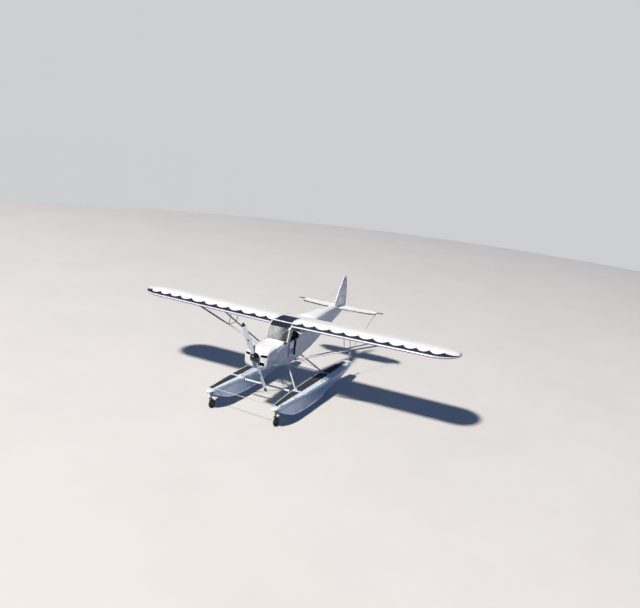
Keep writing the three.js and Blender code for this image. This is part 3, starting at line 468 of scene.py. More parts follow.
@dataclass(frozen=True)
class Finish:
    """A material: what it is, its colours, its gloss and the relief of its surface."""

    name: str
    colour: str
    shade: str
    grime: str
    relief: Relief
    size: float  # the relief's spacing in millimetres
    depth: float  # the relief's depth in millimetres
    rough: tuple[float, float] = (0.3, 0.45)
    metallic: float = 0.0
    ior: float = 1.5
    coat: float = 0.0
    sheen: float = 0.0
    soil: float = 0.35
    worn: str = ""
    patch: float = 260.0  # the size of the cloudy patches in millimetres

    @functools.cache
    def material(self) -> bpy.types.Material:
        """Returns the material, made once.

        Returns:
            The material.
        """
        made = bpy.data.materials.new(self.name)
        made.use_nodes = True
        tree = made.node_tree
        shader = tree.nodes["Principled BSDF"]
        shader.inputs["Metallic"].default_value = self.metallic
        if not self.metallic:
            shader.inputs["IOR"].default_value = self.ior
        shader.inputs["Coat Weight"].default_value = self.coat
        shader.inputs["Coat Roughness"].default_value = 0.12
        shader.inputs["Sheen Weight"].default_value = self.sheen
        place = add_node(tree, "TexCoord").outputs["Object"]
        cloud = add_node(tree, "TexNoise", {"Vector": place, "Scale": 1000 / self.patch, "Detail": 4.0,
                                            "Roughness": 0.6}).outputs["Fac"]
        runs = add_node(tree, "Mapping", {"Vector": place, "Scale": (1.0, 0.5, 0.28)}).outputs["Vector"]
        dirt = add_node(tree, "TexNoise", {"Vector": runs, "Scale": 2600 / self.patch, "Detail": 7.0,
                                           "Roughness": 0.68}).outputs["Fac"]
        shaded = add_node(tree, "MapRange", {"Value": cloud, "From Min": 0.38, "From Max": 0.68}).outputs["Result"]
        soiled = add_node(tree, "MapRange", {"Value": dirt, "From Min": 0.5, "From Max": 0.82,
                                             "To Max": self.soil}).outputs["Result"]
        base = add_node(tree, "Mix", {"Factor": shaded, 6: linear(self.colour), 7: linear(self.shade)},
                        data_type="RGBA").outputs[2]
        colour = add_node(tree, "Mix", {"Factor": soiled, 6: base, 7: linear(self.grime)},
                          data_type="RGBA").outputs[2]
        if self.worn:
            edge = add_node(tree, "NewGeometry").outputs["Pointiness"]
            rubbed = add_node(tree, "Math", {0: edge, 1: dirt}, operation="MULTIPLY").outputs[0]
            share = add_node(tree, "MapRange", {"Value": rubbed, "From Min": 0.29, "From Max": 0.36}).outputs[0]
            colour = add_node(tree, "Mix", {"Factor": share, 6: colour, 7: linear(self.worn)},
                              data_type="RGBA").outputs[2]
        tree.links.new(colour, shader.inputs["Base Color"])
        rough = add_node(tree, "MapRange", {"Value": dirt, "From Min": 0.3, "From Max": 0.75,
                                            "To Min": self.rough[0], "To Max": self.rough[1]}).outputs["Result"]
        tree.links.new(rough, shader.inputs["Roughness"])
        bump = add_node(tree, "Bump", {"Height": self.height(tree, place), "Strength": 0.8,
                                       "Distance": self.depth * MM})
        tree.links.new(bump.outputs["Normal"], shader.inputs["Normal"])
        return made

    def height(self, tree: bpy.types.NodeTree, place: bpy.types.NodeSocket) -> bpy.types.NodeSocket:
        """Adds the relief's height pattern and returns its output.

        Args:
            tree: the material's node tree.
            place: the coordinates.

        Returns:
            The pattern's output.
        """
        rate = 1000 / self.size
        if self.relief is Relief.WOVEN:  # threads along each axis, so each face shows two sets that cross
            waves = [add_node(tree, "TexWave", {"Vector": place, "Scale": rate / 20, "Distortion": 0.4},
                              bands_direction=way).outputs["Fac"] for way in "XYZ"]
            pair = add_node(tree, "Math", {0: waves[0], 1: waves[1]}, operation="MAXIMUM").outputs[0]
            return add_node(tree, "Math", {0: pair, 1: waves[2]}, operation="MAXIMUM").outputs[0]
        if self.relief is Relief.BRUSHED:
            drawn = add_node(tree, "Mapping", {"Vector": place, "Scale": (1.0, 0.04, 1.0)}).outputs["Vector"]
            return add_node(tree, "TexNoise", {"Vector": drawn, "Scale": rate, "Detail": 3.0}).outputs["Fac"]
        if self.relief is Relief.GRIT:
            return add_node(tree, "TexVoronoi", {"Vector": place, "Scale": rate}).outputs["Distance"]
        if self.relief is Relief.GRAIN:
            return add_node(tree, "TexVoronoi", {"Vector": place, "Scale": rate},
                            feature="DISTANCE_TO_EDGE").outputs["Distance"]
        if self.relief is Relief.TWISTED:
            return add_node(tree, "TexWave", {"Vector": place, "Scale": rate / 20}, bands_direction="DIAGONAL",
                            wave_profile="SIN").outputs["Fac"]
        return add_node(tree, "TexNoise", {"Vector": place, "Scale": rate, "Detail": 2.0}).outputs["Fac"]


@dataclass(frozen=True)
class ClearSheet:
    """Blown acrylic or flat polycarbonate: clear with a faint tint, fine scratches and a pale hazy veil."""

    name: str
    tint: str
    haze: str
    cover: float
    ior: float = 1.49
    haze_fade: tuple[float, float] = (9.0, 9.1)  # the haze thins out between these places across the craft, in metres

    @functools.cache
    def material(self) -> bpy.types.Material:
        """Returns the material, made once.

        Returns:
            The material.
        """
        made = bpy.data.materials.new(self.name)
        made.use_nodes = True
        tree = made.node_tree
        shader = tree.nodes["Principled BSDF"]
        shader.inputs["IOR"].default_value = self.ior
        shader.inputs["Base Color"].default_value = linear(self.tint)
        place = add_node(tree, "TexCoord").outputs["Object"]
        runs = add_node(tree, "Mapping", {"Vector": place, "Scale": (7.0, 0.4, 0.4)}).outputs["Vector"]
        dust = add_node(tree, "TexNoise", {"Vector": runs, "Scale": 3.2, "Detail": 6.0}).outputs["Fac"]
        fine = add_node(tree, "TexNoise", {"Vector": place, "Scale": 240.0, "Detail": 2.0}).outputs["Fac"]
        settled = add_node(tree, "MapRange", {"Value": dust, "From Min": 0.35, "From Max": 0.7,
                                              "To Min": self.cover * 0.5, "To Max": self.cover}).outputs["Result"]
        across = add_node(tree, "SeparateXYZ", {0: place}).outputs["X"]
        kept = add_node(tree, "MapRange", {"Value": across, "From Min": self.haze_fade[0], "From Max": self.haze_fade[1],
                                           "To Min": 1.0, "To Max": 0.15}).outputs["Result"]
        veil = add_node(tree, "Math", {0: settled, 1: kept}, operation="MULTIPLY").outputs[0]
        clear = add_node(tree, "Math", {0: 1.0, 1: veil}, operation="SUBTRACT").outputs[0]
        tree.links.new(clear, shader.inputs["Transmission Weight"])
        rough = add_node(tree, "MapRange", {"Value": dust, "To Min": 0.02, "To Max": 0.07}).outputs["Result"]
        tree.links.new(rough, shader.inputs["Roughness"])
        colour = add_node(tree, "Mix", {"Factor": veil, 6: linear(self.tint), 7: linear(self.haze)},
                          data_type="RGBA").outputs[2]
        tree.links.new(colour, shader.inputs["Base Color"])
        bump = add_node(tree, "Bump", {"Height": fine, "Strength": 0.15, "Distance": 0.0002})
        tree.links.new(bump.outputs["Normal"], shader.inputs["Normal"])
        return made


# Polyester fabric shrunk on and doped white: a faint weave under a smooth, slightly blue white.  The
# threads are 0.35 mm apart in life and are drawn 5 mm apart so that they show.
FABRIC = Finish("doped_polyester_fabric", "#f3f6f7", "#e9eef1", "#b9bcb8", Relief.WOVEN, 5.0, 0.25,
                rough=(0.28, 0.46), coat=0.25, soil=0.22)
# The same fabric under charcoal dope, polished: a dark blue black with a sharp highlight.
DARK_FABRIC = Finish("charcoal_dope", "#23293b", "#1d2233", "#4a4f58", Relief.WOVEN, 5.0, 0.2,
                     rough=(0.34, 0.48), coat=0.15, soil=0.16)
# A faint lilac white band painted along the leading edge as a highlight, for the glint of light on the glossy
# charcoal nose: smooth, with a soft gloss.
EDGE_HIGHLIGHT_PAINT = Finish("painted_edge_highlight", "#dcdbf1", "#d0cfe6", "#a9a7b4", Relief.SPRAYED, 5.0, 0.04,
                   rough=(0.25, 0.4), coat=0.3, soil=0.15)
# Two-pack enamel sprayed on aluminium: glossy white with the soft dimples of orange peel, 4 mm apart.
ENAMEL = Finish("sprayed_white_enamel", "#f1f4f6", "#e6ebef", "#aeb2b2", Relief.SPRAYED, 4.0, 0.05,
                rough=(0.2, 0.38), coat=0.5, soil=0.22)
# Enamel on the float's aluminium sheet, dulled by water, with runs of river scum down the sides; its cool blue tint
# is painted shade.
HULL_SHADE_TINTED_ENAMEL = Finish("float_enamel_shade_tinted", "#cfdfef", "#bfd2e6", "#9fabb2", Relief.SPRAYED, 6.0, 0.08,
                     rough=(0.24, 0.5), coat=0.3, soil=0.2, worn="#b4bcc4")
# Grey-white enamel on streamlined steel tube: thin at the edges, where the metal greys through.
STRUT_ENAMEL = Finish("strut_enamel", "#cfd5da", "#bfc7ce", "#7e8184", Relief.SPRAYED, 4.0, 0.05,
                      rough=(0.25, 0.42), coat=0.3, soil=0.3, worn="#8d9195")
# Gloss black lacquer on spun aluminium: near black, with a crisp lit crescent.
LACQUER = Finish("black_lacquer", "#14161f", "#101219", "#3b3d42", Relief.SPRAYED, 3.0, 0.03,
                 rough=(0.22, 0.34), coat=0.5, soil=0.12)
# Epoxy paint over black grit on the float decks: matt, dusty and scuffed grey.
WALKWAY = Finish("grit_walkway", "#2b2d33", "#22242a", "#67645c", Relief.GRIT, 3.0, 0.5,
                 rough=(0.75, 0.95), soil=0.5)
# Moulded black ABS: satin, with a leather grain of 1.6 mm cells.
ABS = Finish("moulded_abs", "#1f2126", "#191b1f", "#4a4844", Relief.GRAIN, 3.2, 0.18, rough=(0.42, 0.62), soil=0.3)
# Cast aluminium: grey, grainy from the sand mould and dull.
CASTING = Finish("sand_cast_aluminium", "#8f9295", "#7c7f83", "#4c4a46", Relief.GRIT, 1.6, 0.15,
                 rough=(0.42, 0.62), metallic=1.0, soil=0.45)
# Rolled aluminium, brushed: brighter, with fine lines along the sheet.
SHEET_METAL = Finish("brushed_aluminium", "#b9bdc1", "#a9adb2", "#6d6c69", Relief.BRUSHED, 1.2, 0.04,
                     rough=(0.28, 0.45), metallic=1.0, soil=0.3)
# Stainless wire rope, 19 strands laid up: bright with a fine twist.
CABLE = Finish("stainless_cable", "#c3c6c9", "#adb1b5", "#77787a", Relief.TWISTED, 4.0, 0.4,
               rough=(0.22, 0.38), metallic=1.0, soil=0.2)
# Three-strand polyester rope: off-white, soft and fuzzy.
ROPE = Finish("laid_rope", "#d9cfb8", "#c8bda4", "#8b8069", Relief.TWISTED, 9.0, 1.2, rough=(0.8, 0.95),
              sheen=0.4, soil=0.4)
# The same rope in a darker brown, used for the left tail line: brown and a little shiny.
DARK_BROWN_ROPE = Finish("dark_brown_rope", "#8a7668", "#77665a", "#54483f", Relief.TWISTED, 9.0, 1.0, rough=(0.6, 0.8),
                     soil=0.4)
# Bonded alloy blade, silver enamel: satin, with dust behind the leading edge.
BLADE = Finish("silver_blade_enamel", "#ccd5e2", "#bcc6d4", "#8a8c8e", Relief.SPRAYED, 4.0, 0.04,
               rough=(0.24, 0.4), coat=0.2, soil=0.3, worn="#9da1a5")
# Near black inside the air ducts, painted shade for the dark depth of the openings: it gives back almost no light.
DUCT_PAINTED_SHADE = Finish("duct_painted_shade", "#0b0b0d", "#09090a", "#141415", Relief.GRAIN, 3.0, 0.1, rough=(0.8, 0.95), soil=0.2)
# Black enamel for blade tips and small parts, brushed on: satin with faint brush lines.
BLACK_ENAMEL = Finish("black_enamel", "#191a1e", "#141518", "#45433f", Relief.BRUSHED, 2.4, 0.05,
                      rough=(0.3, 0.5), coat=0.1, soil=0.3, worn="#6d6f72")
# Carbon-black tyre rubber: matt, with silt dried on.
RUBBER = Finish("tyre_rubber", "#1c1b1a", "#242220", "#6a6355", Relief.GRAIN, 2.6, 0.2, rough=(0.75, 0.95),
                ior=1.52, soil=0.55)
# Pale moulded rubber of the bow caps: creamy, chalky and scuffed.
BUMPER = Finish("moulded_bumper_rubber", "#efe9de", "#e2d9cb", "#a2968a", Relief.GRAIN, 4.0, 0.2,
                rough=(0.55, 0.75), ior=1.52, soil=0.4)
# Seat cloth of wool and nylon, twill woven: warm grey with a soft nap.
SEAT_CLOTH = Finish("woven_seat_cloth", "#5a5654", "#4b4846", "#2f2c2a", Relief.WOVEN, 4.0, 0.5,
                    rough=(0.85, 0.97), sheen=0.5, soil=0.3)
# The seat's piped seams, of the same yarn in a darker dye over a cord.
PIPING = Finish("piped_seam_cloth", "#2e2c2b", "#272524", "#1c1b1a", Relief.TWISTED, 5.0, 0.4, rough=(0.8, 0.95),
                sheen=0.3)
# Powder coat on steel tube: dark grey, pebbled and tough.
POWDER_COAT = Finish("grey_powder_coat", "#4a4e52", "#3f4347", "#262626", Relief.GRAIN, 2.0, 0.08,
                     rough=(0.45, 0.6), soil=0.25, worn="#74787b")
# Cabin lining of painted plywood and nylon: pale grey, matt.
LINING = Finish("cabin_lining", "#b9bcbf", "#aaadb1", "#7b7873", Relief.GRAIN, 5.0, 0.15, rough=(0.6, 0.8), soil=0.35)
# Dark olive brown over the elevator horns: brown green and flat.
HORN_OLIVE = Finish("olive_horn_colour", "#4d4636", "#3d382c", "#6f6855", Relief.WOVEN, 4.0, 0.25, rough=(0.5, 0.7), soil=0.4)
# Red oxide and amber small lenses and handles: moulded and glossy.
RED_PLASTIC = Finish("red_moulding", "#a3201c", "#8e1a18", "#521412", Relief.SPRAYED, 2.0, 0.02, rough=(0.15, 0.3),
                     coat=0.4, soil=0.15)
# Mild steel exhaust pipe, heat-scaled: brown and rough.
EXHAUST = Finish("scaled_exhaust_steel", "#5c4a40", "#473a34", "#2e2622", Relief.GRIT, 2.0, 0.2, rough=(0.6, 0.85),
                 metallic=1.0, soil=0.5)
WINDOW = ClearSheet("clear_polycarbonate", "#e9eef0", "#c9cdcb", 0.1)
# the windshield's pale veil lies full over the craft's right half and thins out over its left half
WINDSHIELD = ClearSheet("hazy_polycarbonate", "#e9eef0", "#c6c8cc", 0.42, haze_fade=(0.02, 0.2))
SKYLIGHT = ClearSheet("tinted_polycarbonate", "#3a4252", "#4c5466", 0.45)


# ---------------------------------------------------------------- wing
def lobe_rise(t: float) -> float:
    """Returns how far a painted lobe's edge stands back, from 0 at its middle to 1 at its cusps at -1 and 1."""
    full = 0.88
    return (1 - math.sqrt(1 - (full * t) ** 2)) / (1 - math.sqrt(1 - full ** 2))


@dataclass
class Wing:
    """Fabric wing with flaps and ailerons, painted with a scalloped leading edge."""

    root: float = 360.4
    straight: float = 4650.0
    tip: float = 5370.0
    chord: float = 1600.0
    camber: float = 0.04
    camber_at: float = 0.4
    thickness: float = 0.12
    dihedral: float = 0.7
    incidence: float = 2.0
    hinge_y: float = 1192.0
    gap: float = 8.0
    cusps: tuple[float, ...] = (190, 620, 1030, 1520, 1970, 2430, 2880, 3360, 3790, 4190, 4570, 4970)
    lobe: float = 30.0
    cusp_rise: float = 140.0
    highlight_band: tuple[float, float] = (20.0, 1.0)  # how far the painted highlight band reaches aft, above and below
    sag: float = 4.0
    moving: tuple[tuple[str, float, float, tuple[float, ...]], ...] = (
        ("flap", 480, 2580, (620, 1530, 2440)), ("aileron", 2620, 4880, (2760, 3750, 4740)))

    def surface(self, share: float, upper: bool) -> float:
        """Returns the skin's height over the chord line, as a share of the chord.

        Args:
            share: the place along the chord, from 0 to 1.
            upper: whether it is the upper skin.

        Returns:
            The height.
        """
        half = 5 * self.thickness * (0.2969 * math.sqrt(max(share, 0)) - 0.126 * share - 0.3516 * share ** 2
                                     + 0.2843 * share ** 3 - 0.1015 * share ** 4)
        m, p = self.camber, self.camber_at
        if share < p:
            line = m / p ** 2 * (2 * p * share - share ** 2)
        else:
            line = m / (1 - p) ** 2 * (1 - 2 * p + 2 * p * share - share ** 2)
        return line + (half if upper else -half)

    def reach(self, x: float) -> tuple[float, float]:
        """Returns the leading edge and the chord at a station.

        Args:
            x: the place across the craft.

        Returns:
            Both lengths.
        """
        out = max(0.0, min(0.9995, (x - self.straight) / (self.tip - self.straight)))
        chord = self.chord * math.sqrt(1 - out * out)
        return (self.chord - chord) / 2, chord

    def spot(self, x: float, share: float, upper: bool, sink: float = 0.0) -> Vector:
        """Returns a point of the skin, sunk in between ribs by a share of the fabric's sag.

        Args:
            x: the place across the craft.
            share: the place along the chord, from 0 to 1.
            upper: whether it is the upper skin.
            sink: how loose the fabric is there.

        Returns:
            The point.
        """
        lead, chord = self.reach(x)
        y = lead + chord * share
        z = chord * self.surface(share, upper) - y * math.tan(math.radians(self.incidence))
        z += (x - self.root) * math.tan(math.radians(self.dihedral))
        loose = max(0.0, min(1.0, (share - 0.1) / 0.16)) * max(0.0, min(1.0, (0.97 - share) / 0.1))
        fall = self.sag * sink * loose * min(1.0, chord / self.chord)
        return Vector((x, y, z - fall if upper else z + fall))

    def skin_z(self, x: float, y: float, upper: bool) -> float:
        """Returns the skin's height at a place on the plan."""
        lead, chord = self.reach(x)
        return self.spot(x, (y - lead) / chord, upper).z

    def hinge(self, x: float) -> Vector:
        """Returns the hinge line's point at a station.

        Args:
            x: the place across the craft.

        Returns:
            The point.
        """
        share = self.hinge_y / self.chord
        z = self.chord * (self.surface(share, True) + self.surface(share, False)) / 2
        z += (x - self.root) * math.tan(math.radians(self.dihedral))
        return Vector((x, self.hinge_y, z - self.hinge_y * math.tan(math.radians(self.incidence))))

    @property
    def nose_radius(self) -> float:
        """The radius of a moving surface's round nose."""
        share = self.hinge_y / self.chord
        return self.chord * (self.surface(share, True) - self.surface(share, False)) / 2 - 1.5

    def trim(self, x: float) -> float:
        """Returns how far aft the charcoal leading edge reaches at a station.

        Args:
            x: the place across the craft.

        Returns:
            The distance.
        """
        _, chord = self.reach(x)
        for a, b in zip(self.cusps, self.cusps[1:]):
            if a <= x <= b:
                return self.lobe + self.cusp_rise * lobe_rise((2 * x - a - b) / (b - a))
        t = min(1.0, (x - self.cusps[-1]) / 420)
        return min(0.32 * chord + 8, self.lobe + self.cusp_rise * lobe_rise(1 - t))

    def stations(self, inner: float, outer: float) -> list[tuple[float, float]]:
        """Returns span stations with how loose the fabric is at each, from 0 on a rib to 1 between ribs.

        Args:
            inner: the inner station.
            outer: the outer station.

        Returns:
            Pairs of station and looseness.
        """
        found: dict[float, float] = {}
        for a, b in zip(self.cusps, self.cusps[1:]):
            for turn in range(-90, 90, 6):
                x = (a + b) / 2 + (b - a) / 2 * math.sin(math.radians(turn))
                bay = 2 * (x - a) / (b - a) % 1.0
                found[round(x, 2)] = math.sin(math.pi * bay) ** 2
        for turn in range(0, 62):
            out = math.sin(math.radians(26.4 + turn))
            x = self.straight + (self.tip - self.straight) * out
            found[round(x, 2)] = math.sin(math.pi * min(1.0, (x - self.cusps[-1]) / 330)) ** 2
        inside = [(x, s) for x, s in sorted(found.items()) if inner + 2 < x < outer - 2]
        return [(inner, 0.0), *inside, (outer, 0.0)]

    def ring(self, x: float, sink: float, open_cove: bool) -> list[Vector]:
        """Returns a section: over the top from the cove to the leading edge, under it and back.

        Args:
            x: the place across the craft.
            sink: how loose the fabric is there.
            open_cove: whether a moving surface sits behind.

        Returns:
            The ring.
        """
        lead, chord = self.reach(x)
        radius = self.nose_radius + self.gap
        half = self.nose_radius + 1.5
        edge = min(0.73, (self.hinge_y - math.sqrt(radius ** 2 - half ** 2) - lead) / chord)
        mark = min(self.trim(x) / chord, edge * 0.9)
        aft = [lerp(edge, mark, i / 18) for i in range(18)]
        # the rims bound the lilac white band painted on the leading edge as a highlight
        rims = [min(self.highlight_band[i] / chord, mark * 0.6) for i in (0, 1)]
        fore = ([lerp(rims[0], mark, (1 - i / 6) ** 2) for i in range(6)] +
                [rims[0] * t for t in (1, 0.62, 0.34, 0.15, 0.04)])
        below = ([rims[1] * t for t in (0.04, 0.15, 0.4, 1)] +
                 [lerp(rims[1], mark, ((i + 1) / 7) ** 2) for i in range(7)])
        upper = [self.spot(x, f, True, sink) for f in aft + fore]
        lower = [self.spot(x, f, False, sink) for f in [0.0] + below + aft[::-1]]
        tail = 8
        if not open_cove:
            under = [self.spot(x, lerp(edge, 1, i / tail), False, sink) for i in range(1, tail + 1)]
            over = [self.spot(x, lerp(1, edge, i / tail), True, sink) for i in range(tail)]
            return upper + lower + under + over
        centre, cove = self.hinge(x), []
        first, last = lower[-1] - centre, upper[0] - centre
        turns = [math.atan2(p.z, p.y) % (2 * math.pi) for p in (first, last)]
        for i in range(1, 2 * tail + 1):
            share = i / (2 * tail + 1)
            size, turn = lerp(first.length, last.length, share), lerp(turns[0], turns[1], share)
            cove.append(centre + Vector((0, math.cos(turn), math.sin(turn))) * size)
        return upper + lower + cove

    def main_panel(self) -> Shape:
        """Builds the fixed wing, with a cove before each moving surface.

        Returns:
            The panel.
        """
        cuts = [self.root]
        for _, inner, outer, _ in self.moving:
            cuts += [inner - self.gap, outer + self.gap]
        cuts.append(self.tip - 0.6)
        rings = []
        for i, (a, b) in enumerate(zip(cuts, cuts[1:])):
            rings += [self.ring(x, sink, i % 2 == 1) for x, sink in self.stations(a, b)]
        # coat 2 is the lilac white band painted on the leading edge as a highlight
        paint, highlight_band = range(17, 41), range(24, 33)
        return Shape().loft(rings, coat_of=lambda _, i: 2 if i in highlight_band else 1 if i in paint else 0)

    def surface_panel(self, inner: float, outer: float) -> Shape:
        """Builds a flap or an aileron: fabric behind the hinge and a round nose before it.

        Args:
            inner: the inner station.
            outer: the outer station.

        Returns:
            The surface.
        """
        rings = []
        for x, sink in self.stations(inner, outer):
            lead, chord = self.reach(x)
            start = (self.hinge_y - lead) / chord
            over = [self.spot(x, lerp(start, 1, i / 14), True, sink) for i in range(15)]
            under = [self.spot(x, lerp(1, start, i / 14), False, sink) for i in range(15)]
            centre = self.hinge(x)
            low, high = under[-1] - centre, over[0] - centre
            turns = [math.atan2(low.z, low.y), -math.pi * 1.5]
            nose = []
            for i in range(1, 12):
                turn = lerp(turns[0], turns[1], i / 12)
                size = min(self.nose_radius, lerp(low.length, high.length, i / 12) + 4)
                nose.append(centre + Vector((0, math.cos(turn), math.sin(turn))) * size)
            rings.append(over + under + nose)
        return Shape().loft(rings)

    def hinge_arm(self, x: float) -> Shape:
        """Builds the cast arm that reaches from the rear spar round a surface's nose.

        Args:
            x: the place across the craft.

        Returns:
            The arm.
        """
        centre, inner, outer = self.hinge(x), self.nose_radius + 3, self.nose_radius + self.gap + 3
        turns = [math.radians(t) for t in spread(148, 212, 9)]
        rims = [[centre + Vector((0, math.cos(t) * r, math.sin(t) * r)) for t in turns] for r in (inner, outer)]
        outline = rims[0] + rims[1][::-1]
        return Shape().prism([p - Vector((12, 0, 0)) for p in outline], (24, 0, 0))

    def trimmings(self) -> Shape:
        """Builds the small fittings on a wing: tip lamp, tie-down ring, vent and inspection rings.

        Returns:
            The fittings.
        """
        parts = Shape()
        for x in (1530, 2880, 4190):
            for y in (420, 1040):
                z = self.skin_z(x, y, False)
                parts.turned(((0, 1), (40, 1), (44, -1.2), (30, -3), (0, -3)), (x, y, z), UP, 24)
        z = self.skin_z(3110, 300, False)
        parts.tube(arc((3190, 300, z - 18), (0, 20, 0), (0, 0, 20), 0, 330, 16), 4, 8)
        parts.slab((3180, 292, z - 4), (3200, 308, z + 8))
        for y in (230, 1010):
            z = self.skin_z(3110, y, False)
            parts.slab((3070, y - 34, z - 5), (3150, y + 34, z + 4))
        z = self.skin_z(700, 430, True)
        parts.turned(((0, 14), (22, 13), (26, 7), (27, -3), (0, -3)), (560, 430, z), UP, 24)
        lamp = self.spot(5330, 0.42, True)
        parts.turned(((0, 36), (10, 34), (17, 22), (20, 4), (20, -6), (0, -6)), lamp, (0.7, -0.7, 0.1), 20,
                     coat=1)
        return parts

    def build(self) -> None:
        """Makes both wings with their moving surfaces."""
        panel, extra = self.main_panel(), self.trimmings()
        arms = Shape()
        for _, _, _, hinges in self.moving:
            for x in hinges:
                arms.add(self.hinge_arm(x))
        for side, sign in SIDES:
            # the third finish is the lilac white highlight painted along the leading edge
            panel.sided(sign).piece(f"wing_skin_{side}", "airframe", "white_fabric", FABRIC, DARK_FABRIC, EDGE_HIGHLIGHT_PAINT,
                                    replaces=[f"wing_{side}"], angle=38)
            arms.sided(sign).piece(f"wing_hinge_arms_{side}", "airframe", "cast_metal", CASTING, bevel=1)
            lens = RED_PLASTIC if sign > 0 else WINDOW
            extra.sided(sign).piece(f"wing_fittings_{side}", "airframe", "strut_paint", ENAMEL, lens)
            for stem, inner, outer, _ in self.moving:
                body = f"{stem}_surface_{side}"
                self.surface_panel(inner, outer).sided(sign).piece(
                    f"{stem}_skin_{side}", body, "white_fabric", FABRIC, replaces=[f"{stem}_{side}"], angle=38)


# ---------------------------------------------------------------- fabric fuselage and tail
@dataclass
class RearFuselage:
    """Fabric over a welded tube truss, with stringers along its back and sides."""

    # Columns: station, half width, bottom, top of the flat side, crown.
    stations: tuple[tuple[float, ...], ...] = (
        (1650.4, 360, -955, -128, -72), (1950, 338, -907, -140, -42), (3000, 230, -738, -172, -48),
        (4000, 128, -577, -212, -108), (4400, 86, -512, -290, -262), (4815, 42, -445, -290, -272))
    stringers: tuple[float, ...] = (0, 25, 48, 69, 90, 111, 132, 155, 180)
    frames: tuple[float, ...] = (1650.4, 2180, 2700, 3200, 3680, 4140, 4815)
    sag: float = 5.0

    def section(self, y: float) -> list[Vector]:
        """Returns the ring of the cone at a station, with the fabric drawn in between frames.

        Args:
            y: the station.

        Returns:
            The ring.
        """
        half, bottom, side, crown = along(self.stations, y)
        bay = next((a, b) for a, b in zip(self.frames, self.frames[1:]) if a <= y <= b)
        loose = self.sag * math.sin(math.pi * (y - bay[0]) / (bay[1] - bay[0])) * min(1, half / 250)
        ring = [Vector((half - 18, y, bottom)), Vector((half - 6, y, bottom + 9)), Vector((half, y, bottom + 30))]
        for share in (0.08, 0.2, 0.35, 0.45, 0.5, 0.55, 0.65, 0.8, 0.92):
            pull = loose * math.sin(math.pi * share) * (0.25 if abs(share - 0.5) < 0.06 else 1)
            ring.append(Vector((half - pull, y, lerp(bottom + 30, side, share))))
        for a, b in zip(self.stringers, self.stringers[1:]):
            ends = [Vector((half * math.cos(math.radians(t)), y, side + (crown - side) * math.sin(math.radians(t))))
                    for t in (a, b)]
            for share in (0, 0.12, 0.5, 0.88):
                place = ends[0].lerp(ends[1], share)
                drawn = 1 - 0.012 * math.sin(math.pi * share) * min(1, half / 200)
                ring.append(Vector((place.x * drawn, y, side + (place.z - side) * drawn)))
        left = [Vector((-p.x, y, p.z)) for p in ring[:12]][::-1]
        ring += [Vector((-half, y, side)), *left]
        floor = [Vector((x * (half - 18), y, bottom + loose * (1 - x * x))) for x in (-0.6, -0.2, 0.2, 0.6)]
        return ring + floor

    def build(self) -> None:
        """Makes the fabric cone and its fittings."""
        stops = sorted({*spread(1650.4, 4815, 64), *self.frames, *(row[0] for row in self.stations)})
        skin = Shape().loft([self.section(y) for y in stops])
        skin.piece("fuselage_fabric", "airframe", "white_fabric", FABRIC, replaces=["rear_fuselage"], angle=24)
        trim = Shape()
        for side, sign in SIDES:
            for y in self.frames[1:-1]:  # tapes over the frames' uprights
                half, bottom, level, _ = along(self.stations, y)
                path = [Vector((sign * (half + 0.6), y, z)) for z in spread(bottom + 30, level - 4, 5)]
                rings = [[p + Vector((0, dy, 0)) for dy in (-22, 22)] for p in path]
                trim.loft(rings, closed=False)
            for y in (1900, 2900, 3900):
                half, bottom, level, _ = along(self.stations, y)
                trim.turned(((0, 2.5), (38, 2.5), (42, 0), (42, -1), (0, -1)),
                            (sign * half, y, lerp(bottom, level, 0.3)),
                            (sign, 0, 0), 28)
        trim.piece("fuselage_tapes", "airframe", "white_fabric", FABRIC)
        lines = Shape()
        for side, sign in SIDES:  # rudder cables run out of the sides in slim fairleads
            start, end = Vector((sign * 168, 3500, -330)), Vector((sign * 96, 4800, -262))
            lines.tube([start, end], 1.8, 8)
            lines.turned(((0, 0), (7, 4), (9, 30), (7, 60), (0, 66)), start + Vector((sign * 2, -30, 0)), AFT, 12)
        lines.piece("rudder_cables", "airframe", "cast_metal", CABLE)


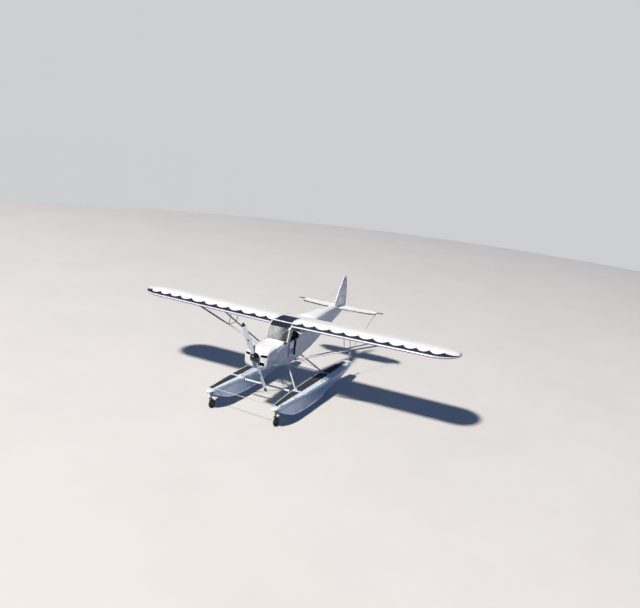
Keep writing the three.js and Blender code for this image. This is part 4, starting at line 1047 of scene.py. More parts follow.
@dataclass
class FramedSurface:
    """A flat tail surface: fabric over a rounded tube outline and ribs.

    Its sections stand across u.  Each runs from low to high along v and is thick along w.
    """

    edges: Callable[[float], tuple[float, float]]
    stops: list[float]
    ribs: list[float]
    thick: float
    place: Callable[[float, float, float], Vector]
    trim: Callable[[float], tuple[float, float]] = lambda u: (0.0, 0.0)

    def section(self, u: float) -> list[Vector]:
        """Returns the ring at a station: over the top from low to high, and back below.

        Args:
            u: the station.

        Returns:
            The ring.
        """
        low, high = self.edges(u)
        wide = max(high - low, 2.0)
        half = min(self.thick / 2, wide / 2)
        near, far = self.trim(u)
        gap = min((abs(u - rib) for rib in self.ribs), default=0.0)
        loose = 3.5 * math.sin(math.pi / 2 * min(1.0, gap / 110)) ** 2
        shares = [0.0, 0.1, 0.35, 0.7, 1.0]  # round the tube's edge
        tops = []
        for turn in shares:
            tops.append((half * (1 - math.cos(turn * math.pi / 2)), half * math.sin(turn * math.pi / 2)))
        body = [max(near, half + 2), *[lerp(max(near, half + 2), wide - max(far, half + 2), s) for s in
                                       (0.1, 0.25, 0.5, 0.75, 0.9)], wide - max(far, half + 2)]
        inner = [(v, half - loose * min(1, min(v, wide - v) / 60) * 0.9) for v in sorted(body)]
        line = tops + inner + [(wide - v, h) for v, h in tops[::-1]]
        line = [(min(max(v, 0), wide), h) for v, h in line]
        upper = [self.place(u, low + v, h) for v, h in line]
        lower = [self.place(u, low + v, -h) for v, h in line[1:-1]][::-1]
        return upper + lower

    def shape(self) -> Shape:
        """Builds the surface with its dark edges in the second coat.

        Returns:
            The surface.
        """
        count = len(self.section(self.stops[0]))
        top = (count + 2) // 2

        def coat(stop: int, i: int) -> int:
            """Returns a face's coat.

            Args:
                stop: the station's number.
                i: the place in the ring.

            Returns:
                The coat.
            """
            across = i if i < top - 1 else count - 1 - i
            near, far = self.trim(self.stops[stop])
            return int((near > 0 and across < 5) or (far > 0 and across >= top - 6))

        return Shape().loft([self.section(u) for u in self.stops], coat_of=coat)


def read_edges(low: Sequence[Sequence[float]],
               high: Sequence[Sequence[float]]) -> Callable[[float], tuple[float, float]]:
    """Returns a reader of a surface's two edges from their tables of station and place."""
    return lambda u: (along(low, u, smooth=True)[0], along(high, u, smooth=True)[0])


def scallops(cusps: Sequence[float], lobe: float, rise: float) -> Callable[[float], float]:
    """Returns the width of a painted edge whose lobes meet in cusps.

    Args:
        cusps: the stations of the cusps.
        lobe: the least width.
        rise: how much wider a cusp is.

    Returns:
        A reader of the width.
    """

    def width(u: float) -> float:
        """Returns the edge's width at a station.

        Args:
            u: the station.

        Returns:
            The width.
        """
        for a, b in zip(cusps, cusps[1:]):
            if a <= u <= b:
                return lobe + rise * lobe_rise((2 * u - a - b) / (b - a))
        return lobe
    return width


def lobe_stops(low: float, high: float, cusps: Sequence[float], extra: Sequence[float] = ()) -> list[float]:
    """Returns stations that are dense near cusps and at both rounded ends.

    Args:
        low: the first station.
        high: the last station.
        cusps: the stations of the cusps.
        extra: further stations.

    Returns:
        The stations.
    """
    found = {low, high, *extra}
    for a, b in zip(cusps, cusps[1:]):
        found |= {(a + b) / 2 + (b - a) / 2 * math.sin(math.radians(t)) for t in range(-90, 91, 12)}
    for t in range(0, 91, 10):
        found.add(high - 60 * (1 - math.sin(math.radians(t))))
    found |= set(spread(low, high, 40))
    stops = sorted(u for u in found if low <= u <= high)
    return [u for i, u in enumerate(stops) if i == 0 or u - stops[i - 1] > 0.4 or u == high]


@dataclass
class Tail:
    """Tailplane, elevators with horns, fin and rudder."""

    hinge_y: float = 4790.0
    plane_z: float = -255.0
    droop: float = 15.0
    fin_y: float = 4838.0
    lead_cusps: tuple[float, ...] = (-60, 350, 650, 950, 1230, 1500)
    rudder_cusps: tuple[float, ...] = (-440, -190, 30, 240, 450, 660, 900)

    def tailplane(self) -> Shape:
        """Builds the fixed tailplane's left half.

        Returns:
            The tailplane.
        """
        low = ((75, 4235), (700, 4300), (1180, 4375), (1340, 4440), (1400, 4520), (1424, 4600), (1425, 4640))
        high = ((75, self.hinge_y - 26), (1425, self.hinge_y - 26))
        paint = scallops(self.lead_cusps, 26, 52)
        half = FramedSurface(read_edges(low, high), lobe_stops(75, 1425, self.lead_cusps), [75, 420, 760, 1100, 1425],
                             34, lambda u, v, w: Vector((u, v, self.plane_z + w)), lambda u: (paint(u), 0.0))
        shape = half.shape()
        for x in (180, 760, 1340):
            shape.slab((x, self.hinge_y - 40, self.plane_z - 9), (x + 30, self.hinge_y - 17, self.plane_z + 9), 2)
        return shape

    def elevator(self) -> Shape:
        """Builds the left elevator with its aerodynamic horn, drooped.

        Returns:
            The elevator.
        """
        low = ((101, -15), (1434, -15), (1436, -200), (1452, -250), (1490, -270), (1530, -275), (1575, -255),
               (1606, -205),
               (1620, -100), (1622, -60))
        high = ((101, 180), (150, 300), (300, 370), (700, 385), (1100, 362), (1380, 300), (1540, 190), (1600, 80),
                (1622, -20))
        stops = sorted({*lobe_stops(101, 1622, ()), 1433.9, 1434, 1436})
        half = FramedSurface(lambda u: (along(low, u)[0], along(high, u, smooth=True)[0]), stops,
                             [101, 460, 800, 1140, 1434], 30, lambda u, v, w: Vector((u, v, w)))
        shape = half.shape()
        # the horns beyond 1395 mm take the second finish, a flat dark olive brown
        shape.coats = [1 if min(shape.points[i].x for i in face) > 1395 else 0 for face in shape.faces]
        shape.tube([(103, 0, 0), (1428, 0, 0)], 16, 20)
        return shape.swung("X", -self.droop, (0, 0, 0)).moved((0, self.hinge_y, self.plane_z))

    def fin(self) -> Shape:
        """Builds the fin.

        Returns:
            The fin.
        """
        stops = spread(-262, 640, 34)
        low = ((-262, 4432), (-230, 4360), (-180, 4240), (-120, 4150), (-70, 4140), (30, 4200), (260, 4360),
               (420, 4456),
               (560, 4560), (610, 4606), (640, 4646))
        surface = FramedSurface(lambda u: (along(low, u, smooth=True)[0], 4814.0), stops, [-180, 60, 330, 620], 30,
                                lambda u, v, w: Vector((w, v, u)))
        shape = surface.shape()
        for z in (-180, 200, 580):
            shape.slab((-9, 4800, z), (9, 4822, z + 30), 1)
        return shape

    def rudder(self) -> Shape:
        """Builds the rudder with its horn balance and scalloped trailing edge.

        Returns:
            The rudder.
        """
        low = ((-440, -15), (650, -15), (652, -180), (700, -184), (752, -150), (790, -124), (826, -90), (850, -50),
               (864, -14))
        high = ((-440, 90), (-438, 140), (-420, 205), (-380, 260), (-320, 298), (-260, 316), (-80, 322), (160, 300),
                (400, 265), (600, 215), (745, 150), (838, 70), (858, 36), (864, 8))
        paint = scallops(self.rudder_cusps, 30, 60)
        stops = sorted({*lobe_stops(-440, 864, self.rudder_cusps), 649.9, 650, 652})
        surface = FramedSurface(lambda u: (along(low, u)[0], along(high, u, smooth=True)[0]), stops,
                                [-200, 60, 330, 600], 28, lambda u, v, w: Vector((w, self.fin_y + v, u)),
                                lambda u: (0.0, paint(u)))
        shape = surface.shape()
        shape.tube([(0, self.fin_y, -436), (0, self.fin_y, 650)], 15, 20)
        return shape

    def braces(self) -> Shape:
        """Builds the streamlined wires that stay the tail.

        Returns:
            The wires.
        """
        wires = Shape()
        for sign in (1, -1):
            for a, b in (((sign * 820, 4600, -238), (sign * 12, 4640, 400)),
                         ((sign * 820, 4600, -272), (sign * 62, 4640, -478)),
                         ((sign * 800, 4330, -238), (sign * 12, 4460, 300))):
                start, end = Vector(a), Vector(b)
                wires.tube([start, end], 1.8, 8)
                for tip, way in ((start, end - start), (end, start - end)):
                    way.normalize()
                    wires.turned(((0, 0), (3, 0), (3, 40), (2.4, 52), (0, 52)), tip, way, 10)
        return wires

    def build(self) -> None:
        """Makes the tail's pieces."""
        plane, lift, fin, rudder = self.tailplane(), self.elevator(), self.fin(), self.rudder()
        for side, sign in SIDES:
            plane.sided(sign).piece(f"tailplane_{side}", "airframe", "white_fabric", FABRIC, DARK_FABRIC, CASTING,
                                    replaces=[f"stabilizer_{side}"])
            lift.sided(sign).piece(f"elevator_skin_{side}", "elevators", "white_fabric", FABRIC, HORN_OLIVE,
                                   replaces=[f"elevator_{side}"])
        fin.piece("fin_skin", "airframe", "white_fabric", FABRIC, CASTING, replaces=["fin"])
        rudder.piece("rudder_skin", "rudder_surface", "white_fabric", FABRIC, DARK_FABRIC, replaces=["rudder"])
        self.braces().piece("tail_brace_wires", "airframe", "cast_metal", SHEET_METAL)


# ---------------------------------------------------------------- struts
@dataclass
class Struts:
    """Wing lift struts with jury struts, and the float struts with their spreaders and brace wires."""

    foot: tuple[float, float, float] = (385, 505, -1145)
    top_x: float = 3110.0
    front_y: float = 235.0
    rear_y: float = 1020.0
    jury_x: float = 2000.0
    middle: float = 1060.0
    deck: float = -1722.0
    front: tuple[float, float, float, float] = (-540, 115, 80, -1168)
    rear: tuple[float, float, float, float] = (1520, 200, 930, -1072)

    def lift(self, wing: Wing) -> Shape:
        """Builds the left wing's V of struts, the jury struts and the end fittings.

        Args:
            wing: the wing.

        Returns:
            The struts.
        """
        parts, foot = Shape(), Vector(self.foot)
        ends = []
        for y, chord, thick in ((self.front_y, 88, 40), (self.rear_y, 70, 34)):
            top = Vector((self.top_x, y, wing.skin_z(self.top_x, y, False) - 4))
            parts.strut(foot, top, chord, thick, 24)
            ends.append(top)
            run = (foot - top).normalized()
            for way in (-1, 1):  # fork plates hold the strut's head
                plate = [top + Vector((0, way * (thick * 0.5 + 6) - 3, 0)) + run * s + Vector((0, 0, h))
                         for s, h in ((-34, 16), (70, 22), (96, 0), (70, -22), (-34, -16))]
                parts.prism(plate, (0, 6, 0), 1)
            parts.tube([top + run * 20 + Vector((0, -thick * 0.5 - 14, 0)),
                        top + run * 20 + Vector((0, thick * 0.5 + 14, 0))],
                       7, 12, 1)
        share = (self.jury_x - foot.x) / (self.top_x - foot.x)
        on = [foot.lerp(top, share) for top in ends]
        for p, chord in zip(on, (32, 32)):
            z = wing.skin_z(p.x - 60, p.y, False)
            parts.strut(p, (p.x - 60, p.y, z), chord, 18, 16)
            parts.turned(((0, -12), (15, -12), (17, 0), (15, 12), (0, 12)), p, AFT, 16, 1)
            parts.slab((p.x - 80, p.y - 22, z - 4), (p.x - 40, p.y + 22, z + 4), 1)
        parts.tube(on, 11, 12)
        x, y, z = self.foot
        parts.slab((361, y - 45, z - 38), (370, y + 45, z + 32), 1)
        for way in (-24, 24):
            parts.slab((366, y + way - 4, z - 26), (410, y + way + 4, z + 24), 1)
        parts.tube([(392, y - 38, z), (392, y + 38, z)], 9, 12, 1)
        return parts

    def brackets(self) -> list[tuple[Vector, Vector]]:
        """Returns each float strut's foot and head."""
        return [(Vector((self.middle - inboard, y, self.deck + 16)), Vector((325, fuselage_y, fuselage_z - 12)))
                for y, inboard, fuselage_y, fuselage_z in (self.front, self.rear)]

    def floats(self, hull: "FloatHull") -> tuple[Shape, Shape]:
        """Builds the left float's struts, and the brackets that clasp the float's inboard shoulder.

        Args:
            hull: the float.

        Returns:
            The struts and the clasps.
        """
        parts, clasps = Shape(), Shape()
        (foot_f, head_f), (foot_r, head_r) = self.brackets()
        up = Vector((0, 0, 14))
        parts.strut(foot_f + up, head_f - Vector((0, 0, 6)), 76, 36, 24)
        parts.strut(foot_r + up, head_r - Vector((0, 0, 6)), 76, 36, 24)
        parts.strut(head_f + Vector((0, 30, -8)), foot_r + Vector((0, -40, 14)), 56, 26, 24)
        for foot in (foot_f, foot_r):
            rim = hull.shoulder(foot.y)
            for y in (foot.y - 42, foot.y + 42):
                band = [Vector((self.middle - p.x, y - 5, p.z)) for p in rim]
                outer = [p + Vector((-5 if i < len(band) - 1 else 0, 0, 7)) for i, p in enumerate(band)]
                clasps.prism(band + outer[::-1], (0, 10, 0))
            sheet = [[Vector((self.middle - p.x, y, p.z + 4)) for p in rim] for y in (foot.y - 46, foot.y + 46)]
            lifted = [[p + Vector((-3, 0, 4)) for p in row] for row in sheet]
            clasps.loft([sheet[0] + lifted[0][::-1], sheet[1] + lifted[1][::-1]])
            for way in (-1, 1):
                plate = [foot + Vector((d, way * 24 - 3, h))
                         for d, h in ((-44, -10), (44, -10), (30, 34), (8, 50), (-30, 34))]
                clasps.prism(plate, (0, 6, 0))
            clasps.tube([foot + Vector((0, -36, 20)), foot + Vector((0, 36, 20))], 8, 12)
        for head in (head_f, head_r):
            clasps.slab((300, head.y - 44, head.z - 2), (372, head.y + 44, head.z + 10))
            for way in (-1, 1):
                clasps.slab((302, head.y + way * 25 - 3, head.z - 40), (356, head.y + way * 25 + 3, head.z + 4))
        return parts, clasps

    def spreader(self, row: Sequence[float], chord: float, thick: float) -> Shape:
        """Builds one bar between the floats with its end sockets.

        Args:
            row: the strut row.
            chord: its width fore and aft.
            thick: its thickness.

        Returns:
            The bar.
        """
        reach, y, z = self.middle - 315.4, row[0], self.deck - 53
        bar = Shape().strut((-reach + 6, y, z), (reach - 6, y, z), chord, thick, 24)
        for sign in (1, -1):
            ring = lambda x, s: arc((sign * x, y, z), (0, s * (chord / 2 + 5), 0),
                                    (0, 0, s * (thick / 2 + 5)), 0, 345, 24)
            bar.loft([ring(reach, 1), ring(reach - 60, 1), ring(reach - 72, 0.88)], 1)
        return bar

    def wires(self) -> Shape:
        """Builds the stays between floats and fuselage.

        Returns:
            The stays.
        """
        stays = Shape()
        for sign in (1, -1):
            for (foot, head), shift in zip(self.brackets(), (-60, 60)):
                stays.tube([(sign * (foot.x - 30), foot.y, foot.z + 26), (-sign * head.x, head.y + shift, head.z)],
                           4.5, 8)
            stays.tube([(sign * 745, self.front[0], self.deck - 40), (-sign * 745, self.rear[0], self.deck - 40)],
                       4, 8)
        return stays

    def bow_line(self) -> Shape:
        """Builds the rope that is stretched between the bows, with its ring bolts and their lashings.

        Returns:
            The line.
        """
        parts = Shape()
        ends = [Vector((-904, -1850, -1762)), Vector((990, -2030, -1704))]
        feet = [Vector((-926, -1850, -1764)), Vector((996, -2030, -1762))]
        parts.tube([ends[0].lerp(ends[1], t) for t in spread(0, 1, 40)], 9, 12)
        for end, foot, other in zip(ends, feet, ends[::-1]):
            run = (other - end).normalized()
            parts.tube([foot, end], 8, 12, 1)
            parts.turned(((0, -4), (22, -4), (22, 3), (10, 9), (0, 9)), foot, end - foot, 20, 1)
            for i in range(4):  # turns of the lashing round the rope's end
                middle = end + run * (26 + 13 * i)
                parts.tube([*circle(middle, run, 12, 20), circle(middle, run, 12, 20)[0]], 6, 8)
            parts.tube(circle(end, run.cross(UP), 17, 20), 6, 8)
        return parts

    def build(self, wing: Wing, hull: "FloatHull") -> None:
        """Makes all the struts.

        Args:
            wing: the wing.
            hull: the float.
        """
        lift, (legs, clasps) = self.lift(wing), self.floats(hull)
        for side, sign in SIDES:
            lift.sided(sign).piece(f"lift_struts_enamel_{side}", "airframe", "strut_paint", STRUT_ENAMEL, CASTING,
                                   replaces=[f"lift_struts_{side}"])
            # the float struts take the grey strut enamel, not the white of their spreaders and clasps: this darker
            # tone is painted shade
            legs.sided(sign).piece(f"float_struts_enamel_{side}", "airframe", "strut_paint", STRUT_ENAMEL,
                                   replaces=[f"float_struts_{side}"])
            clasps.sided(sign).piece(f"float_clasps_{side}", "airframe", "strut_paint", ENAMEL, bevel=1)
        for stem, row, chord, thick in (("front", self.front, 74, 46), ("rear", self.rear, 92, 46)):
            self.spreader(row, chord, thick).piece(f"spreader_bar_{stem}", "airframe", "strut_paint", ENAMEL, ENAMEL,
                                                   replaces=[f"spreader_{stem}"])
        self.wires().piece("float_stays", "airframe", "cast_metal", CABLE)
        self.bow_line().piece("bow_line", "airframe", "hull_skin", ROPE, ENAMEL)


# ---------------------------------------------------------------- floats
@dataclass
class FloatHull:
    """A riveted aluminium float with a step, a wheel well, walkway, cleats and a stern bracket."""

    middle: float = 1060.0
    deck: float = -1722.0
    walk: float = 70.0
    strip_shift: float = -30.0
    # Columns: station, deck, deck half width, chine half width, chine height, keel height.
    lines: tuple[tuple[float, ...], ...] = (
        (-2060, -1754, 66, 82, -1818, -1840), (-1950, -1738, 98, 150, -1882, -1930),
        (-1700, -1726, 128, 236, -1984, -2062), (-1250, -1722, 160, 314, -2088, -2182),
        (-500, -1722, 216, 334, -2116, -2212), (640, -1722, 250, 322, -2104, -2214))
    after: tuple[tuple[float, ...], ...] = (
        (644, -1722, 250, 318, -2050, -2138), (1600, -1722, 238, 284, -1986, -2040),
        (2500, -1722, 190, 218, -1900, -1938),
        (3080, -1722, 132, 150, -1834, -1858), (3290, -1726, 98, 108, -1806, -1824))
    bulkheads: tuple[float, ...] = (-1540, -1050, -560, -60, 430, 900, 1380, 1880, 2380, 2860)

    def section(self, y: float, table: Sequence[Sequence[float]]) -> list[Vector]:
        """Returns half a section from the keel up to the middle of the deck.

        Args:
            y: the station.
            table: the hull's lines.

        Returns:
            The half ring.
        """
        deck, top, chine, chine_z, keel = along(table, y, smooth=True)
        flat = min(self.walk, top * 0.55)
        drop = min(95, (deck - chine_z) * 0.5)
        corner = [(chine, chine_z), (lerp(chine, top + 34, 0.5), lerp(chine_z, deck - drop, 0.5)),
                  (top + 34, deck - drop),
                  (top + 24, deck - drop * 0.55), (top - 6, deck - drop * 0.22),
                  (lerp(top, flat, 0.5), deck - drop * 0.05), (flat, deck)]
        bottom = [(chine * s, keel + (chine_z - keel) * (s + 0.10 * math.sin(math.pi * s)))
                  for s in (0, 0.25, 0.5, 0.75, 0.93)]
        side = []
        for i in range(len(corner) - 1):
            p0, p1 = corner[max(i - 1, 0)], corner[i]
            p2, p3 = corner[i + 1], corner[min(i + 2, len(corner) - 1)]
            for t in (0, 0.34, 0.67):
                side.append(tuple(0.5 * (2 * b + (c - a) * t + (2 * a - 5 * b + 4 * c - d) * t * t
                                         + (3 * b - a - 3 * c + d) * t ** 3) for a, b, c, d in zip(p0, p1, p2, p3)))
        return [Vector((x, y, z)) for x, z in bottom + side + [(flat, deck), (0, deck)]]

    def ring(self, y: float, table: Sequence[Sequence[float]]) -> list[Vector]:
        """Returns a whole section."""
        half = self.section(y, table)
        return half + [Vector((-p.x, p.y, p.z)) for p in half[1:-1]][::-1]

    def shoulder(self, y: float) -> list[Vector]:
        """Returns the rim from the side of the hull up over its shoulder, offset from its middle."""
        return self.section(y, self.table(y))[12:21]

    def shell(self) -> Shape:
        """Builds the hull's outer skin.

        Returns:
            The skin.
        """
        rings = [self.ring(y, self.lines) for y in spread(-2060, 640, 72)]
        rings += [self.ring(y, self.after) for y in spread(644, 3290, 56)]
        return Shape().loft(rings)

    def table(self, y: float) -> tuple[tuple[float, ...], ...]:
        """Returns the lines before or behind the step."""
        return self.lines if y < 642 else self.after

    def deck_at(self, x: float, y: float) -> Vector:
        """Returns the deck's point at an offset from the float's middle.

        Args:
            x: the place across the craft.
            y: the station.

        Returns:
            The point.
        """
        line = self.section(y, self.table(y))[14:]
        for a, b in zip(line, line[1:]):
            if b.x <= abs(x) <= a.x:
                return Vector((x, y, lerp(b.z, a.z, (abs(x) - b.x) / max(a.x - b.x, 1e-6))))
        return Vector((x, y, line[0].z))

    def deck_kit(self) -> tuple[Shape, Shape, Shape]:
        """Builds the walkway strips, the deck's fittings and its edge rails.

        Returns:
            The walkway, the fittings and the rails.
        """
        walk, kit, rail = Shape(), Shape(), Shape()
        up = UP
        for y0, y1 in ((-1930, -600), (-480, 1460), (1580, 3060)):
            rows = []
            for y in spread(y0, y1, 44):
                top = along(self.table(y), y, smooth=True)[1]
                points = [self.deck_at(lerp(16 - top, 0.28 * top, s), y) + up * (0.4 if s in (0, 1) else 1.8)
                          for s in (0, 0.03, 0.2, 0.4, 0.6, 0.8, 0.97, 1)]
                rows.append(points + [q - up * 4 for q in points[::-1]])
            walk.loft(rows)
        for y in self.bulkheads:  # flush hand-hole covers and pump plugs
            walk.turned(((0, 3.4), (40, 3.4), (44, 2.4), (46, 0), (0, 0)),
                        self.deck_at(self.strip_shift, y + 120) + up, up, 28, 1)
            kit.turned(((0, 6), (8, 6), (10, 2), (10, -2), (0, -2)), self.deck_at(self.strip_shift + 88, y + 60),
                       up, 12, 1)
        for y in (-1840, -1100, 720, 2250, 3010):  # mooring cleats
            foot = self.deck_at(min(170, along(self.table(y), y, smooth=True)[1] * 0.82), y)
            kit.tube([foot + Vector((0, d, h)) for d, h in ((-75, 48), (-40, 38), (40, 38), (75, 48))], 10, 12, 2)
            for d in (-26, 26):
                kit.turned(((0, 0), (14, 0), (9, 12), (8, 38), (0, 38)), foot + Vector((0, d, 0)), up, 12, 2)
            kit.slab(foot + Vector((-18, -46, -6)), foot + Vector((18, 46, 5)), 2)
        for sign in (1, -1):
            for y0, y1 in ((-1990, -620), (-460, 1450), (1590, 3180)):
                line = []
                for y in spread(y0, y1, 40):
                    line.append(self.deck_at(sign * (along(self.table(y), y, smooth=True)[1] - 4), y) + up * 9)
                rail.tube(line, 12, 12)
        return walk, kit, rail

    def seams(self) -> tuple[Shape, Shape]:
        """Builds the chine rails, the keel strip and the lines of rivets.

        Returns:
            The strips and the rivets.
        """
        strips, heads = Shape(), Shape()
        for table, y0, y1 in ((self.lines, -2040, 638), (self.after, 646, 3280)):
            for sign in (1, -1):
                rows = []
                for y in spread(y0, y1, 60):
                    _, _, chine, chine_z, _ = along(table, y, smooth=True)
                    p = Vector((sign * chine, y, chine_z))
                    rows.append([p + Vector((sign * a, 0, b))
                                 for a, b in ((-6, 4), (9, -3), (10, -9), (2, -6), (-8, -3))])
                strips.loft(rows)
                spots = []
                for y in spread(y0 + 30, y1 - 20, int((y1 - y0) / 36)):
                    half = self.section(y, table)
                    for index, out in ((6, (1, 0, 0.1)), (11, (1, 0, 0.35)), (20, (0.25, 0, 1))):
                        p = half[index]
                        spots.append((Vector((sign * p.x, p.y, p.z)),
                                      Vector((sign * out[0], 0, out[2])).normalized()))
                heads.rivets(spots)
            rows = []
            for y in spread(y0, y1, 50):
                keel = along(table, y, smooth=True)[4]
                rows.append([Vector((x, y, keel + d)) for x, d in ((-22, 5), (-8, -7), (8, -7), (22, 5), (0, 8))])
            strips.loft(rows)
        for y in self.bulkheads:  # a row of heads down each side at each bulkhead
            half = self.section(y, self.table(y))
            spots = []
            for a, b in zip(half[6:20], half[7:21]):
                out = Vector((b.z - a.z, 0, -(b.x - a.x))).normalized()
                out = out if out.x > 0 or out.z > 0.5 else -out
                count = max(1, int((b - a).length / 26))
                spots += [(a.lerp(b, i / count), out) for i in range(count)]
            heads.rivets(spots + [(Vector((-p.x, p.y, p.z)), Vector((-o.x, 0, o.z))) for p, o in spots])
        return strips, heads

    def stern(self) -> Shape:
        """Builds the stern bracket with its ring round the water rudder's post.

        Returns:
            The bracket.
        """
        parts, y = Shape(), 3324.0
        ring = [arc((0, y, z), (30, 0, 0), (0, 30, 0), 0, 345, 24) for z in (-1780, -1738)]
        bore = [arc((0, y, z), (16.5, 0, 0), (0, 16.5, 0), 0, 345, 24) for z in (-1738, -1780)]
        parts.loft([*ring, *bore, ring[0]], caps=False)
        parts.slab((-16, 3262, -1778), (16, y - 26, -1740))
        for x in (-40, 40):
            parts.slab((x - 14, 3276, -1790), (x + 14, 3296, -1760))
        return parts

    def nose_socket(self) -> Shape:
        """Builds the caster's socket under the bow."""
        return Shape().turned(((20.8, -1992), (34, -1992), (38, -1984), (38, -1940), (34, -1900), (20.8, -1900)),
                              (0, -1930, 0), UP, 28)

    def bumper(self) -> Shape:
        """Builds the soft cap on the bow.

        Returns:
            The cap.
        """
        first = self.ring(-2060, self.lines)
        middle = (self.lines[0][1] + self.lines[0][5]) / 2
        rings = []
        for turn in range(0, 91, 9):
            size = math.cos(math.radians(turn)) ** 0.8 if turn < 90 else 0.04
            y = -2060.4 - 96 * math.sin(math.radians(turn))
            rings.append([Vector((p.x * size * 0.995, y, middle + (p.z - middle) * size)) for p in first])
        cap = Shape().loft(rings)
        lip = [[Vector((p.x * s, -2060.4 + d, middle + (p.z - middle) * s)) for p in first]
               for s, d in ((0.995, -18), (1.02, -16), (1.02, -6), (0.995, -4))]
        return cap.loft(lip)

    def build(self) -> None:
        """Makes both floats."""
        shell, (walk, kit, rail), (strips, heads) = self.shell(), self.deck_kit(), self.seams()
        well = Shape().turned(((0, -87), (196, -87), (196, 87), (0, 87)), (0, 1090, GROUND + 180), OUT, 48)
        recess = Shape().turned(((0, -60), (21.2, -60), (21.2, 60), (0, 60)), (0, -1930, -1990), UP, 24)
        extras = [(self.nose_socket(), "nose_sockets", "hull_skin", (CASTING,)),
                  (self.stern(), "stern_brackets", "hull_skin", (CASTING,))]
        for side, sign in SIDES:
            there = (sign * self.middle, 0, 0)
            low = [cutter.sided(1).moved(there) for cutter in (well, recess)]
            # the hull's cool blue tint is painted shade
            shell.sided(sign).moved(there).piece(f"hull_{side}", "airframe", "hull_skin", HULL_SHADE_TINTED_ENAMEL,
                                                 replaces=[f"float_{side}"],
                                                 cutters=low, angle=26)
            walk.sided(1).moved(there).piece(f"walkway_{side}", "airframe", "dark_plastic", WALKWAY, BLACK_ENAMEL)
            kit.sided(sign).moved(there).piece(f"deck_fittings_{side}", "airframe", "hull_skin", ENAMEL,
                                               BLACK_ENAMEL, ENAMEL)
            rail.sided(sign).moved(there).piece(f"deck_rails_{side}", "airframe", "strut_paint", ENAMEL)
            strips.sided(sign).moved(there).piece(f"hull_strips_{side}", "airframe", "hull_skin", HULL_SHADE_TINTED_ENAMEL,
                                                  cutters=[cutter.sided(1).moved(there) for cutter in (well,)])
            heads.sided(sign).moved(there).piece(f"hull_rivets_{side}", "airframe", "hull_skin", HULL_SHADE_TINTED_ENAMEL)
            self.bumper().sided(sign).moved(there).piece(f"bow_cap_{side}", "airframe", "bumper_rubber", BUMPER,
                                                         replaces=[f"bow_bumper_{side}"])
            for shape, stem, slot, finishes in extras:
                shape.sided(sign).moved(there).piece(f"{stem}_{side}", "airframe", slot, *finishes)


# ---------------------------------------------------------------- cabin
def dress(finish: "Finish | ClearSheet", *nodes: str) -> None:
    """Gives CAD nodes a finish in place of their plain one.

    Args:
        finish: the finish.
        nodes: the names of the nodes.
    """
    for name in nodes:
        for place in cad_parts[name].material_slots:
            place.material = finish.material()
        LOG.info("%s dressed in %s", name, finish.name)


